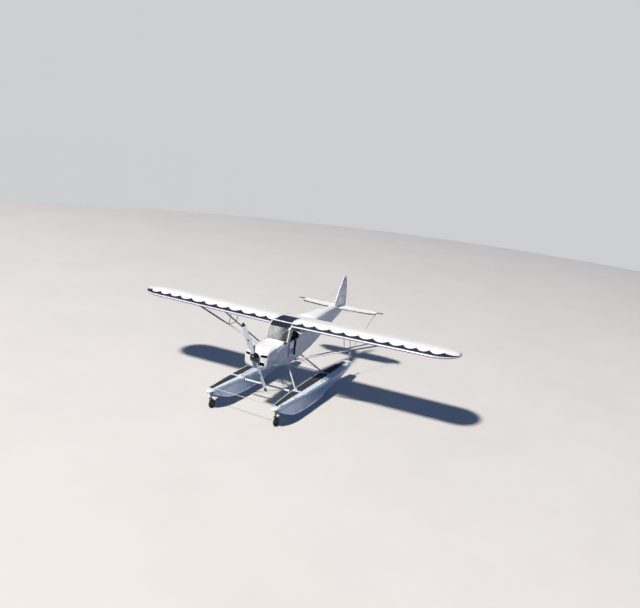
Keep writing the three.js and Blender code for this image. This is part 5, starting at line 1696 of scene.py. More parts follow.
@dataclass
class Cabin:
    """Tube cabin: nose deck, windshield, roof with its skylight, panel, controls and posts."""

    half: float = 360.0
    glass_half: float = 329.0
    foot_y: float = -302.0
    foot_bow: float = 98.0
    bow_from: float = 0.6
    brow: tuple[float, float] = (-84, -44)
    head: tuple[float, float] = (108, 72)
    # Columns: station, shoulder, crease, crown.
    deck: tuple[tuple[float, ...], ...] = ((-760, -597, -494, -430), (-290, -480, -441, -409),
                                           (-185, -473, -436, -407))
    crease: float = 0.925  # where the crease lies, as a share of the half width
    roof: tuple[tuple[float, float], ...] = ((118, 80), (165, 94), (480, 122), (958, 88), (1300, 21), (1649, -82))
    skylight: tuple[float, float, float] = (225, 740, 265)
    upper_doorway: tuple[tuple[float, float], ...] = ((165, -112), (640, -112), (640, -470), (-45, -470))
    lower_doorway: tuple[tuple[float, float], ...] = ((225, -470), (490, -470), (490, -975), (225, -975))

    def deck_z(self, x: float, y: float) -> float:
        """Returns the nose deck's height at a place.

        Args:
            x: the place across the craft.
            y: the station.

        Returns:
            The height.
        """
        shoulder, crease, crown = along(self.deck, y)
        share = min(1.0, abs(x) / self.half)
        if share > self.crease:
            return lerp(crease, shoulder, (share - self.crease) / (1 - self.crease))
        return lerp(crown, crease, (share / self.crease) ** 4)

    def nose_deck(self) -> Shape:
        """Builds the metal deck from the firewall back to the ledge under the windshield.

        Returns:
            The deck.
        """
        reach = [0, 0.12, 0.25, 0.38, 0.5, 0.6, 0.68, 0.75, 0.8, 0.84, 0.875, 0.905, 0.925, 0.96, 1.0]
        across = [-r for r in reach[:0:-1]] + reach
        rings = []
        for y in spread(-760, -185, 24):
            top = [Vector((s * self.half, y, self.deck_z(s * self.half, y) + 0.8)) for s in across]
            rings.append(top + [Vector((p.x * 0.985, y, p.z - 5)) for p in top[::-1]])
        return Shape().loft(rings)

    def glass_line(self, s: float) -> list[Vector]:
        """Returns the windshield's line from the deck over the brow to the roof, at a share of its width.

        Args:
            s: the share of the width, from -1 to 1.

        Returns:
            The line.
        """
        x = s * self.glass_half
        y = self.foot_y + self.foot_bow * max(0.0, (abs(s) - self.bow_from) / (1 - self.bow_from)) ** 3
        foot, brow, head = Vector((x, y, self.deck_z(x, y) + 1.5)), Vector((x, *self.brow)), Vector((x, *self.head))
        swell = 7 * (1 - s * s)
        line = [foot.lerp(brow, t) + Vector((0, -swell, swell * 0.4)) * math.sin(math.pi * t)
                for t in spread(0, 0.84, 9)]
        start, end = line[-1], brow.lerp(head, 0.34)
        for t in (0.25, 0.5, 0.75):
            line.append(start.lerp(brow, t).lerp(brow.lerp(end, t), t))
        return line + [brow.lerp(head, t) for t in spread(0.34, 1, 5)]

    def windshield(self) -> Shape:
        """Builds the blown sheet.

        Returns:
            The sheet.
        """
        rings = []
        for s in spread(-1, 1, 41):
            line = self.glass_line(s)
            rings.append(line + [p + Vector((0, 4, -1.5)) for p in line[::-1]])
        return Shape().loft(rings, coat_of=lambda _, i: int(10 <= i <= 22))  # tinted from the brow up

    def glass_trim(self) -> tuple[Shape, Shape]:
        """Builds the white strips that hold the windshield, with screws, and its dark seal.

        Returns:
            The strips and the seal.
        """
        strips, seal = Shape(), Shape()
        rings, bead = [], []
        for s in spread(-1, 1, 41):
            line = self.glass_line(s)
            foot, up = line[0], (line[1] - line[0]).normalized()
            front = Vector((foot.x, foot.y - 30, self.deck_z(foot.x, foot.y - 30)))
            rings.append([front + Vector((0, 0, 0.9)), front + Vector((0, 0, 3)), foot + Vector((0, -7, 4)),
                          foot + up * 17 + Vector((0, -3, 1)), foot + up * 17, foot + Vector((0, 0, -1))])
            bead.append(foot + up * 20 + Vector((0, -2, 0)))
        strips.loft(rings)
        seal.tube(bead, 6, 10)
        for sign in (1, -1):
            edge, inner = self.glass_line(sign), self.glass_line(sign * 0.975)
            outward = Vector((0, -3.2, 1.4))
            strips.loft([[p + outward, q + outward, q, p + Vector((sign * 2, 4, 0)), p + Vector((sign * 3, 0, 0))]
                         for p, q in zip(edge, inner)], 1)
            strips.rivets([(p.lerp(q, 0.5) + outward, Vector((0, -0.9, 0.4)).normalized())
                           for p, q in zip(edge[1:-2], inner[1:-2])],
                          4, 1.4)
        sheet = ((98, 71), (99, 75), (118, 84), (136, 90), (136, 86.5), (118, 80.5))
        strips.loft([[Vector((x, y, z)) for y, z in sheet] for x in spread(-332, 332, 13)])
        strips.rivets([((x, 124, 86.6), (0, -0.3, 0.95)) for x in spread(-310, 310, 12)], 4, 1.4)
        rows = []
        for y in spread(137, 209, 9):  # the charcoal band between the head strip and the skylight
            z = along(self.roof, y)[0]
            line = [Vector((x, y, z + 1.4)) for x in spread(-308, 308, 9)]
            rows.append(line + [p - UP for p in line[::-1]])
        strips.loft(rows, 2)
        for sign in (1, -1):  # the black fillet at the foot's corner
            rows = []
            for y in spread(-352, -188, 14):
                inner = 292 + 30 * max(0.0, (-290 - y) / 62) ** 2
                line = [Vector((sign * x, y, self.deck_z(x, y) + 3.4)) for x in spread(inner, 361, 8)]
                rows.append(line + [p - Vector((0, 0, 2.4)) for p in line[::-1]])
            seal.loft(rows)
        return strips, seal

    def roof_trim(self, wing: Wing) -> tuple[Shape, Shape]:
        """Builds the fairings between roof and wing and the strips round the skylight.

        Args:
            wing: the wing.

        Returns:
            The fairings and the strips.
        """
        fairing, rims = Shape(), Shape()
        roof_z = lambda y: along(self.roof, y)[0]
        for sign in (1, -1):
            rings = []
            for y in spread(150, 1592, 40):
                low, high = roof_z(y) + 1, wing.skin_z(361, y, True)
                profile = [(312, low), (332, lerp(low, high, 0.3)), (352, lerp(low, high, 0.85)), (374, high + 1.6),
                           (392, high + 1.8)]
                top = [Vector((sign * x, y, z + 1.2)) for x, z in profile]
                rings.append(top + [p - Vector((0, 0, 3)) for p in top[::-1]])
            fairing.loft(rings)
            fairing.rivets([((sign * 384, y, wing.skin_z(384, y, True) + 3), UP) for y in spread(180, 1560, 20)],
                           4, 1.2)
        y0, y1, half = self.skylight
        for sign in (1, -1):
            rows = [[Vector((sign * x, y, roof_z(y) + h))
                     for x, h in ((half - 14, 0.6), (half - 14, 3), (half + 16, 3), (half + 16, 0.6))]
                    for y in spread(y0 - 16, y1 + 16, 16)]
            rims.loft(rows)
            rims.rivets([((sign * (half + 2), y, roof_z(y) + 3), UP) for y in spread(y0, y1, 10)], 4.5, 1.6)
        for y in (y0 - 1, y1 + 1):
            rows = [[Vector((x, y + d, roof_z(y + d) + h)) for d, h in ((-14, 0.6), (-14, 3), (14, 3), (14, 0.6))]
                    for x in spread(-half - 10, half + 10, 9)]
            rims.loft(rows)
        return fairing, rims

    def tubes(self) -> Shape:
        """Builds the welded tubes that show through the windows.

        Returns:
            The tubes.
        """
        parts = Shape()
        for sign in (1, -1):
            parts.tube([(sign * 312, 52, 0), (sign * 10, -196, -400)], 9, 14)
            parts.tube([(sign * 322, -152, -452), (sign * 324, -56, -118), (sign * 324, 60, -2)], 9, 12)
            parts.tube([(sign * 320, 660, -1060), (sign * 320, 660, 60)], 11, 12)
            parts.tube([(sign * 320, 660, -1050), (sign * 320, 1600, -500)], 11, 12)
            parts.tube([(sign * 322, -700, -640), (sign * 322, -160, -505), (sign * 322, 1600, -505)], 10, 12)
        for y, z in ((170, 62), (655, 82), (1020, 50), (1560, -80)):
            parts.tube([(-328, y, z), (328, y, z)], 12, 14)
        parts.tube([(-318, 170, 58), (318, 655, 76)], 8, 10)
        parts.tube([(-318, 1600, -505), (318, 1600, -505)], 11, 12)
        return parts

    def hinges(self, falls: bool) -> Shape:
        """Builds a side's door hinges.

        Args:
            falls: whether the lower leaf falls about its foot; if not, it folds about its front edge.

        Returns:
            The fixed halves of the hinges, on the left.
        """
        made = Shape()
        for y in spread(190, 610, 8):
            made.tube([(367, y - 14, -108), (367, y + 14, -108)], 4.4, 12)
            made.slab((360, y - 14, -110), (364, y + 14, -92))
        if falls:
            for y in spread(262, 452, 4):
                made.tube([(367, y - 16, -979), (367, y + 16, -979)], 4.4, 12)
                made.slab((360, y - 16, -1006), (364, y + 16, -978))
            return made
        for z in spread(-930, -520, 6):
            made.tube([(367, 223, z - 16), (367, 223, z + 16)], 4.4, 12)
            made.slab((360, 196, z - 16), (364, 224, z + 16))
        return made

    def side_trim(self) -> tuple[Shape, Shape]:
        """Builds the left side's rails and rivets, and its door seals.

        Returns:
            The rails and the seals.
        """
        rails, seals = Shape(), Shape()
        rails.tube([(361, y, along(((-760, -603), (-290, -488), (-60, -480)), y)[0])
                    for y in spread(-752, -70, 12)], 5, 10)
        for y, low, high in ((-742, -1020, -612), (-540, -1070, -562), (-320, -1108, -504)):
            rails.rivets([((360, y, z), OUT) for z in spread(low, high, 16)])
        rails.rivets([((360, y, along(((-760, -1022), (-300, -1108), (60, -1148)), y)[0]), OUT)
                      for y in spread(-720, 60, 26)])
        for y0, y1, z0, z1 in ((-700, -590, -900, -780), (-250, -90, -900, -720)):  # access plates with round corners
            centre, u, v = Vector((360.4, (y0 + y1) / 2, (z0 + z1) / 2)), (y1 - y0) / 2, (z1 - z0) / 2
            edge = [centre + Vector((0, u * a, v * b))
                    for a, b in (rounded(math.tau * i / 40, 0.35) for i in range(40))]
            rails.prism(edge, (1.8, 0, 0))
            rails.rivets([(p.lerp(centre, 0.12) + Vector((1.8, 0, 0)), OUT) for p in edge[::4]], 4, 1.4)
        for doorway in (self.upper_doorway, self.lower_doorway):
            corners = [Vector((331, y, z)) for y, z in doorway]
            middle = sum(corners, Vector()) / 4
            for a, b in zip(corners, corners[1:] + corners[:1]):
                if doorway is self.lower_doorway and a.z == b.z == -470:
                    continue
                shift = (middle - (a + b) / 2).normalized() * -2
                seals.tube([a + shift, b + shift], 5, 8)
        return rails, seals

    def panel(self) -> tuple[Shape, Shape]:
        """Builds the gauges, switches and knobs, and the mat over the panel.

        Returns:
            The gauges and the mat.
        """
        kit, mat = Shape(), Shape()
        back = AFT
        for x, z, r in ((-205, -566, 40), (-112, -566, 40), (112, -566, 40), (205, -566, 40), (-205, -655, 29),
                        (-128, -655, 29),
                        (128, -655, 29), (205, -655, 29), (0, -556, 44)):
            kit.turned(((0, -2), (r + 5, -2), (r + 6, 4), (r + 1, 8), (r - 2, 3), (r - 2, 1.4), (0, 1.4)),
                       (x, -213, z), back, 32,
                       coat_of=lambda ring, _: 1 if ring >= 4 else 0)
            for turn in range(-120, 121, 30):
                t = math.radians(turn + 90)
                way = Vector((math.cos(t), 0, math.sin(t)))
                kit.tube([Vector((x, -211.2, z)) + way * (r - 9), Vector((x, -211.2, z)) + way * (r - 4)], 0.9, 5, 2)
            hand = math.radians(40 + x * 0.7 + z)
            kit.tube([(x, -210.6, z), (x + math.cos(hand) * (r - 10), -210.6, z + math.sin(hand) * (r - 10))], 1.1,
                     5, 2)
        for x in (-64, -32, 32, 64):
            kit.tube([(x, -214, -690), (x, -196, -688), (x, -184, -684)], 3, 8, 2)
            kit.turned(((0, 0), (9, 0), (8, 5), (0, 5)), (x, -213, -690), back, 12, 1)
        kit.tube([(0, -214, -640), (0, -150, -640)], 5, 10, 2)
        kit.turned(((0, 0), (15, 4), (17, 12), (14, 22), (0, 24)), (0, -152, -640), back, 20, 3)
        rows = []
        for s in spread(-0.9, 0.9, 25):
            x = s * self.glass_half
            y = self.foot_y + self.foot_bow * max(0.0, (abs(s) - self.bow_from) / (1 - self.bow_from)) ** 3 + 16
            line = [Vector((x, lerp(y, -187, t), self.deck_z(x, lerp(y, -187, t)) + 2.4)) for t in (0, 0.5, 1)]
            line.append(Vector((x, -178, self.deck_z(x, -187) - 30)))
            rows.append(line + [p - Vector((0, 0, 1.4)) for p in line[::-1]])
        mat.loft(rows)
        return kit, mat

    def controls(self) -> tuple[Shape, Shape]:
        """Builds the sticks, pedals, throttles, trim wheel and floor channels.

        Returns:
            The rods and the grips.
        """
        rods, grips = Shape(), Shape()
        floor = lambda y: along(FLOOR, y)[0]
        for y, lean in ((236, -26), (968, -30)):
            base = Vector((0, y, floor(y)))
            path = [base, base + Vector((0, -4, 140)), base + Vector((0, lean, 300)),
                    base + Vector((0, lean + 14, 440))]
            rods.tube(path, 11, 14)
            rods.turned(((0, 0), (34, 0), (34, 14), (16, 40), (0, 40)), base - Vector((0, 0, 2)), UP, 20)
            grips.turned(((0, 0), (15, 0), (18, 20), (15, 60), (19, 100), (16, 122), (0, 128)),
                         path[-1] - Vector((0, 3, 20)),
                         (0, 0.1, 1), 20)
        for y in (-470, 520):
            for x in (-150, 150):
                z = floor(y)
                rods.tube([(x - 45, y, z + 110), (x + 45, y, z + 110)], 9, 12)
                for d in (-38, 38):
                    rods.tube([(x + d, y, z + 110), (x + d, y - 16, z + 2)], 6, 10)
        for y in (120, 900):
            rods.tube([(316, y, -560), (296, y - 12, -520), (282, y - 20, -486)], 5, 10)
            grips.turned(((0, 0), (12, 3), (15, 14), (12, 26), (0, 28)), (282, y - 20, -492), (-0.3, 0, 1), 16)
        rods.slab((300, -60, -575), (318, 980, -545))
        return rods, grips

    def build(self, wing: Wing) -> None:
        """Makes the cabin's pieces and dresses the nodes that stay.

        Args:
            wing: the wing.
        """
        for side, _ in SIDES:
            dress(FABRIC, f"cabin_side_{side}", f"cabin_side_rear_{side}")
            dress(WINDOW, f"quarter_pane_{side}")
        dress(LINING, "cabin_floor")
        dress(SHEET_METAL, "firewall")
        dress(FABRIC, "roof")
        dress(SKYLIGHT, "skylight")
        dress(BLACK_ENAMEL, "instrument_panel")
        self.nose_deck().piece("nose_deck_skin", "airframe", "white_paint", ENAMEL, replaces=["nose_deck"], angle=22)
        self.windshield().piece("windshield_sheet", "airframe", "clear_pane", WINDSHIELD, SKYLIGHT,
                                replaces=["windshield"],
                                angle=60)
        strips, seal = self.glass_trim()
        strips.piece("windshield_strips", "airframe", "white_paint", ENAMEL, SHEET_METAL, DARK_FABRIC)
        seal.piece("windshield_seal", "airframe", "dark_plastic", RUBBER)
        fairing, rims = self.roof_trim(wing)
        fairing.piece("wing_root_fairings", "airframe", "white_paint", ENAMEL)
        rims.piece("skylight_rims", "airframe", "dark_plastic", DARK_FABRIC)
        self.tubes().piece("cabin_tubes", "airframe", "strut_paint", STRUT_ENAMEL)
        rails, seals = self.side_trim()
        for side, sign in SIDES:
            rails.sided(sign).piece(f"cabin_rails_{side}", "airframe", "white_paint", ENAMEL)
            seals.sided(sign).piece(f"door_seals_{side}", "airframe", "dark_plastic", RUBBER)
            self.hinges(sign < 0).sided(sign).piece(f"door_hinges_{side}", "airframe", "cast_metal", SHEET_METAL)
        kit, mat = self.panel()
        kit.piece("panel_gauges", "airframe", "dark_plastic", ABS, BLACK_ENAMEL, ENAMEL, RED_PLASTIC)
        mat.piece("panel_mat", "airframe", "dark_plastic", ABS)
        rods, grips = self.controls()
        rods.piece("control_rods", "airframe", "strut_paint", POWDER_COAT)
        grips.piece("control_grips", "airframe", "dark_plastic", ABS)


@dataclass
class Doors:
    """Two-leaf doors: a glazed upper leaf hinged at the wing and a lower one hinged at its front."""

    upper: tuple[tuple[float, float], ...] = ((171, -118), (634, -118), (634, -464), (-39, -464))
    lower: tuple[float, float, float, float] = (231, 484, -476, -969)
    raised: float = 88.0
    folded: float = 178.0

    def inset(self, distance: float) -> list[tuple[float, float]]:
        """Returns the upper leaf's corners drawn in."""
        middle = [sum(p[i] for p in self.upper) / 4 for i in (0, 1)]
        return [(y - math.copysign(distance, y - middle[0]), z - math.copysign(distance, z - middle[1]))
                for y, z in self.upper]

    def upper_kit(self) -> tuple[Shape, Shape]:
        """Builds the upper leaf's rim tubes and screws, and its seal, catch and handle.

        Returns:
            The rim and the dark parts.
        """
        rim, dark = Shape(), Shape()
        for distance, x, radius, target in ((15, 357, 6, rim), (40, 351.5, 3.5, dark), (40, 344.5, 3.5, dark)):
            corners = [Vector((x, y, z)) for y, z in self.inset(distance)]
            for a, b in zip(corners, corners[1:] + corners[:1]):
                target.tube([a, b], radius, 12)
                target.turned(((0, -radius), (radius * 0.87, -radius * 0.5), (radius, 0),
                               (radius * 0.87, radius * 0.5), (0, radius)), a,
                              OUT, 12)
        ring = self.inset(27)
        for (y0, z0), (y1, z1) in zip(ring, ring[1:] + ring[:1]):
            count = int(math.hypot(y1 - y0, z1 - z0) / 64)
            rim.rivets([((358, lerp(y0, y1, i / count), lerp(z0, z1, i / count)), OUT) for i in range(count)], 3.6)
        for y in spread(215, 585, 7):
            rim.slab((358, y - 16, -134), (361.5, y + 16, -115))
        dark.turned(((0, 0), (13, 0), (13, 6), (8, 9), (0, 9)), (358, 300, -446), OUT, 20)
        dark.slab((365, 294, -452), (371, 356, -440))
        return rim, dark

    def lower_kit(self, falls: bool) -> tuple[Shape, Shape]:
        """Builds the lower leaf's edge, ribs and latch, and its map pocket.

        Args:
            falls: whether the leaf is hinged at its foot; if not, at its front edge.

        Returns:
            The painted parts and the dark ones.
        """
        y0, y1, z1, z0 = self.lower
        face, dark = Shape(), Shape()
        rim = [Vector((348, y, z)) for y, z in ((y0 + 6, z1 - 6), (y1 - 6, z1 - 6), (y1 - 6, z0 + 6),
                                                (y0 + 6, z0 + 6))]
        for a, b in zip(rim, rim[1:] + rim[:1]):
            face.tube([a, b], 10.2, 14)
        for path in (((y0 + 24, z1 - 40), (y1 - 24, z0 + 60)), ((y0 + 20, -700), (y1 - 20, -700))):
            a, b = [Vector((357.5, y, z)) for y, z in path]
            face.tube([a, b], 4, 10)
        for z in spread(z0 + 40, z1 - 40, 9):
            face.rivets([((358, y, z), OUT) for y in (y0 + 22, y1 - 22)], 3.6)
        for at in spread(262, 452, 4) if falls else (-900, -730, -560):
            if falls:
                face.slab((358, at - 18, z0 - 4), (361.5, at + 18, z0 + 34))
            else:
                face.slab((358, y0 - 4, at - 18), (361.5, y0 + 34, at + 18))
        for x, way in ((358, 1), (338, -1)):
            dark.turned(((0, 0), (12, 0), (12, 6), (7, 9), (0, 9)), (x, y1 - 40, -520), (way, 0, 0), 20)
        dark.slab((365, y1 - 92, -526), (370, y1 - 34, -514))
        pocket = [Vector((338, y, z)) for y, z in ((y0 + 26, -690), (y1 - 40, -690), (y1 - 44, -850),
                                                   (y0 + 30, -850))]
        middle = sum(pocket, Vector()) / 4
        rings = [pocket, [p + Vector((-7, 0, 0)) for p in pocket],
                 [p.lerp(middle, 0.2) + Vector((-11, 0, 0)) for p in pocket]]
        dark.loft(rings, 1)
        return face, dark

    def build(self) -> None:
        """Makes the doors' pieces: the left pair stands open and the right pair is shut."""
        rim, dark = self.upper_kit()
        for side, sign in SIDES:
            face, handles = self.lower_kit(sign < 0)
            dress(ENAMEL, f"door_{side}_upper_frame", f"door_{side}_lower")
            dress(WINDOW, f"door_{side}_upper_pane")
            for shape, stem, body, slot, finishes in (
                    (rim, "upper_rim", "upper", "white_paint", (ENAMEL,)),
                    (dark, "upper_seal", "upper", "dark_plastic", (ABS,)),
                    (face, "lower_ribs", "lower_leaf", "white_paint", (ENAMEL,)),
                    (handles, "lower_latch", "lower_leaf", "dark_plastic", (ABS, LINING))):
                made = shape.sided(sign)
                if sign > 0 and body == "upper":
                    made.swung("Y", -self.raised, (367, 0, -108))
                elif sign > 0:
                    made.swung("Z", -self.folded, (367, 223, 0))
                made.piece(f"door_{side}_{stem}", f"door_{side}_{body}", slot, *finishes)


# ---------------------------------------------------------------- seats
@dataclass
class Seats:
    """Two seats in tandem: tube frames with a pan, a padded cushion, a padded back and a lap belt."""

    rows: tuple[tuple[str, float], ...] = (("front", 330.0), ("rear", 1080.0))
    half: float = 189.0
    swell: float = 24.0  # the furthest that the padding pushes the cloth, in millimetres

    def frame(self, y: float) -> Shape:
        """Builds a welded frame with a sheet pan.

        Args:
            y: the station.

        Returns:
            The frame.
        """
        parts, floor = Shape(), lambda at: along(FLOOR, at)[0]
        for x in (-self.half, self.half):
            parts.tube([(x, y + 46, floor(y + 46) + 1), (x, y + 42, -960), (x, y + 52, -944),
                        (x, y + 404, -944), (x, y + 436, -900), (x, y + 488, -520),
                        (x, y + 506, -442)], 10, 14)
            parts.tube([(x, y + 396, -946), (x, y + 420, floor(y + 420) + 1)], 10, 14)
            for leg in (46, 420):
                parts.turned(((0, 0), (24, 0), (24, 5), (12, 9), (0, 9)), (x, y + leg, floor(y + leg) + 0.5), UP, 18)
        for dy, z in ((60, -944), (396, -944), (506, -446)):
            parts.tube([(-self.half, y + dy, z), (self.half, y + dy, z)], 10, 14)
        parts.loft([[Vector((x, y + dy, z)) for dy, z in ((34, -938), (34, -934), (404, -934), (404, -938))]
                    for x in spread(-self.half, self.half, 9)])
        return parts

    def pad(self, name: str, corners: tuple[Vector, Vector], tilt: float, pivot: Vector, channels: Sequence[float],
            replaces: Sequence[str]) -> bpy.types.Object:
        """Blows up a sewn pad from a block, then presses its channels in and pipes its edge.

        Args:
            name: the piece's name.
            corners: the pad's lowest and highest corners, lying flat.
            tilt: how far it then turns about X, in degrees.
            pivot: the point that it turns about.
            channels: sewn lines across the pad, as shares of its length.
            replaces: the nodes that it stands for.

        Returns:
            The pad.
        """
        low, high = corners
        block = Shape().loft([[Vector((x, y, z)) for x, y in self.outline(low, high, size)]
                              for z, size in ((low.z + 6, -10), (low.z + 16, 0), (high.z - 16, 0),
                                              (high.z - 6, -10))])
        made = block.solid(name)
        made.data.materials.append(SEAT_CLOTH.material())
        step = made.modifiers.new("remesh", "REMESH")
        step.mode, step.voxel_size = "VOXEL", 0.006
        self.bake(made)
        self.blow(made)
        length = (high.y - low.y) * MM
        front = low.y * MM + WING_EDGE.y
        top, floor = high.z * MM + WING_EDGE.z, low.z * MM + WING_EDGE.z
        for point in made.data.vertices:
            share = (point.co.y - front) / length
            press = sum(math.exp(-((share - c) * length / 0.007) ** 2) for c in channels)
            if point.co.z > (top + floor) / 2:
                point.co.z -= 0.006 * press
            point.co.z = max(point.co.z, floor)
        self.piping(made, (low + high) / 2).swung("X", tilt, pivot).piece(f"{name}_piping", "airframe",
                                                                          "seat_cloth", PIPING)
        step = made.modifiers.new("smooth", "SUBSURF")
        step.levels = step.render_levels = 1
        self.bake(made)
        centre, turn = pivot * MM + WING_EDGE, Matrix.Rotation(math.radians(tilt), 4, "X")
        made.data.transform(Matrix.Translation(centre) @ turn @ Matrix.Translation(-centre))
        made.data.polygons.foreach_set("use_smooth", [True] * len(made.data.polygons))
        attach(made, "airframe")
        if replaces:
            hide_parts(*replaces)
        LOG.info("%s on airframe", name)
        return made

    def piping(self, pad: bpy.types.Object, middle: Vector) -> Shape:
        """Builds the piped seam that runs round a pad's widest line.

        Args:
            pad: the blown pad, lying flat.
            middle: the pad's middle.

        Returns:
            The piping.
        """
        count = 72
        rim: list[Vector] = [middle] * count
        for vertex in pad.data.vertices:
            place = (vertex.co - WING_EDGE) / MM
            off = Vector((place.x - middle.x, place.y - middle.y, 0))
            sector = int((math.atan2(off.y, off.x) % math.tau) / math.tau * count) % count
            if abs(place.z - middle.z) < 14 and off.length > (rim[sector] - middle).length:
                rim[sector] = middle + off
        return Shape().tube([*rim, rim[0]], 4.5, 8)

    def outline(self, low: Vector, high: Vector, grow: float) -> list[tuple[float, float]]:
        """Returns a block's outline on plan, with round corners and sides that draw in between them.

        Args:
            low: the lowest corner.
            high: the highest corner.
            grow: how far outward it is moved.

        Returns:
            The outline.
        """
        points = []
        middle, u, v = (low + high) / 2, (high.x - low.x) / 2 + grow, (high.y - low.y) / 2 + grow
        for i in range(64):
            x, y = rounded(math.tau * i / 64, 0.28)
            pull = 1 - 0.025 * (1 - (min(abs(x), abs(y)) ** 2))
            points.append((middle.x + u * x * pull, middle.y + v * y * pull))
        return points

    def bake(self, made: bpy.types.Object) -> None:
        """Applies the object's modifiers to its mesh.

        Args:
            made: the object.
        """
        result = made.evaluated_get(bpy.context.evaluated_depsgraph_get())
        made.data = bpy.data.meshes.new_from_object(result)
        made.modifiers.clear()

    def blow(self, made: bpy.types.Object) -> None:
        """Blows the pad up as cloth, and holds each point within the swell of its start.

        Args:
            made: the object.
        """
        start = [p.co.copy() for p in made.data.vertices]
        step = made.modifiers.new("cloth", "CLOTH")
        step.settings.use_pressure, step.settings.uniform_pressure_force = True, 4.0
        step.settings.effector_weights.gravity = 0.0
        step.settings.quality = 5
        scene = bpy.context.scene
        for number in range(1, 21):
            scene.frame_set(number)
        result = made.evaluated_get(bpy.context.evaluated_depsgraph_get())
        moved = [p.co.copy() for p in result.data.vertices]
        made.modifiers.clear()
        scene.frame_set(1)
        limit = self.swell * MM
        for point, a, b in zip(made.data.vertices, start, moved):
            step_by = b - a
            point.co = a + (step_by * (limit / step_by.length) if step_by.length > limit else step_by)

    def belt(self, y: float) -> Shape:
        """Builds a lap belt of flat webbing that lies over the cushion, with its buckle.

        Args:
            y: the station.

        Returns:
            The belt.
        """
        parts = Shape()
        for sign in (1, -1):
            path = [(200, y + 330, -925), (206, y + 316, -880), (196, y + 290, -826), (120, y + 240, -813),
                    (34, y + 214, -811)]
            rows = []
            for i, (x, cy, z) in enumerate(path):
                flat = Vector((0, 23, 0)) if i > 2 else Vector((0, 20, 8))
                p = Vector((sign * x, cy, z))
                rows.append([p - flat, p + flat, p + flat + Vector((0, 0, 2.4)), p - flat + Vector((0, 0, 2.4))])
            parts.loft(rows)
        parts.slab((-38, y + 186, -812), (38, y + 240, -802), 1)
        parts.slab((-22, y + 194, -803), (22, y + 232, -797), 1)
        return parts

    def build(self) -> None:
        """Makes both seats."""
        for name, y in self.rows:
            self.frame(y).piece(f"seat_tubes_{name}", "airframe", "seat_tube", POWDER_COAT,
                                replaces=[f"seat_frame_{name}"])
            self.pad(f"seat_pad_{name}", (Vector((-186, y + 18, -930)), Vector((186, y + 384, -846))), 0,
                     Vector((0, 0, 0)),
                     (0.33, 0.66), [f"seat_cushion_{name}"])
            pivot = Vector((0, y + 448, -880))
            self.pad(f"seat_back_{name}", (Vector((-176, y + 460, -912)), Vector((176, y + 880, -872))), 82, pivot,
                     (0.3, 0.62), [])
            self.belt(y).piece(f"seat_belt_{name}", "airframe", "seat_cloth", SEAT_CLOTH, CASTING)


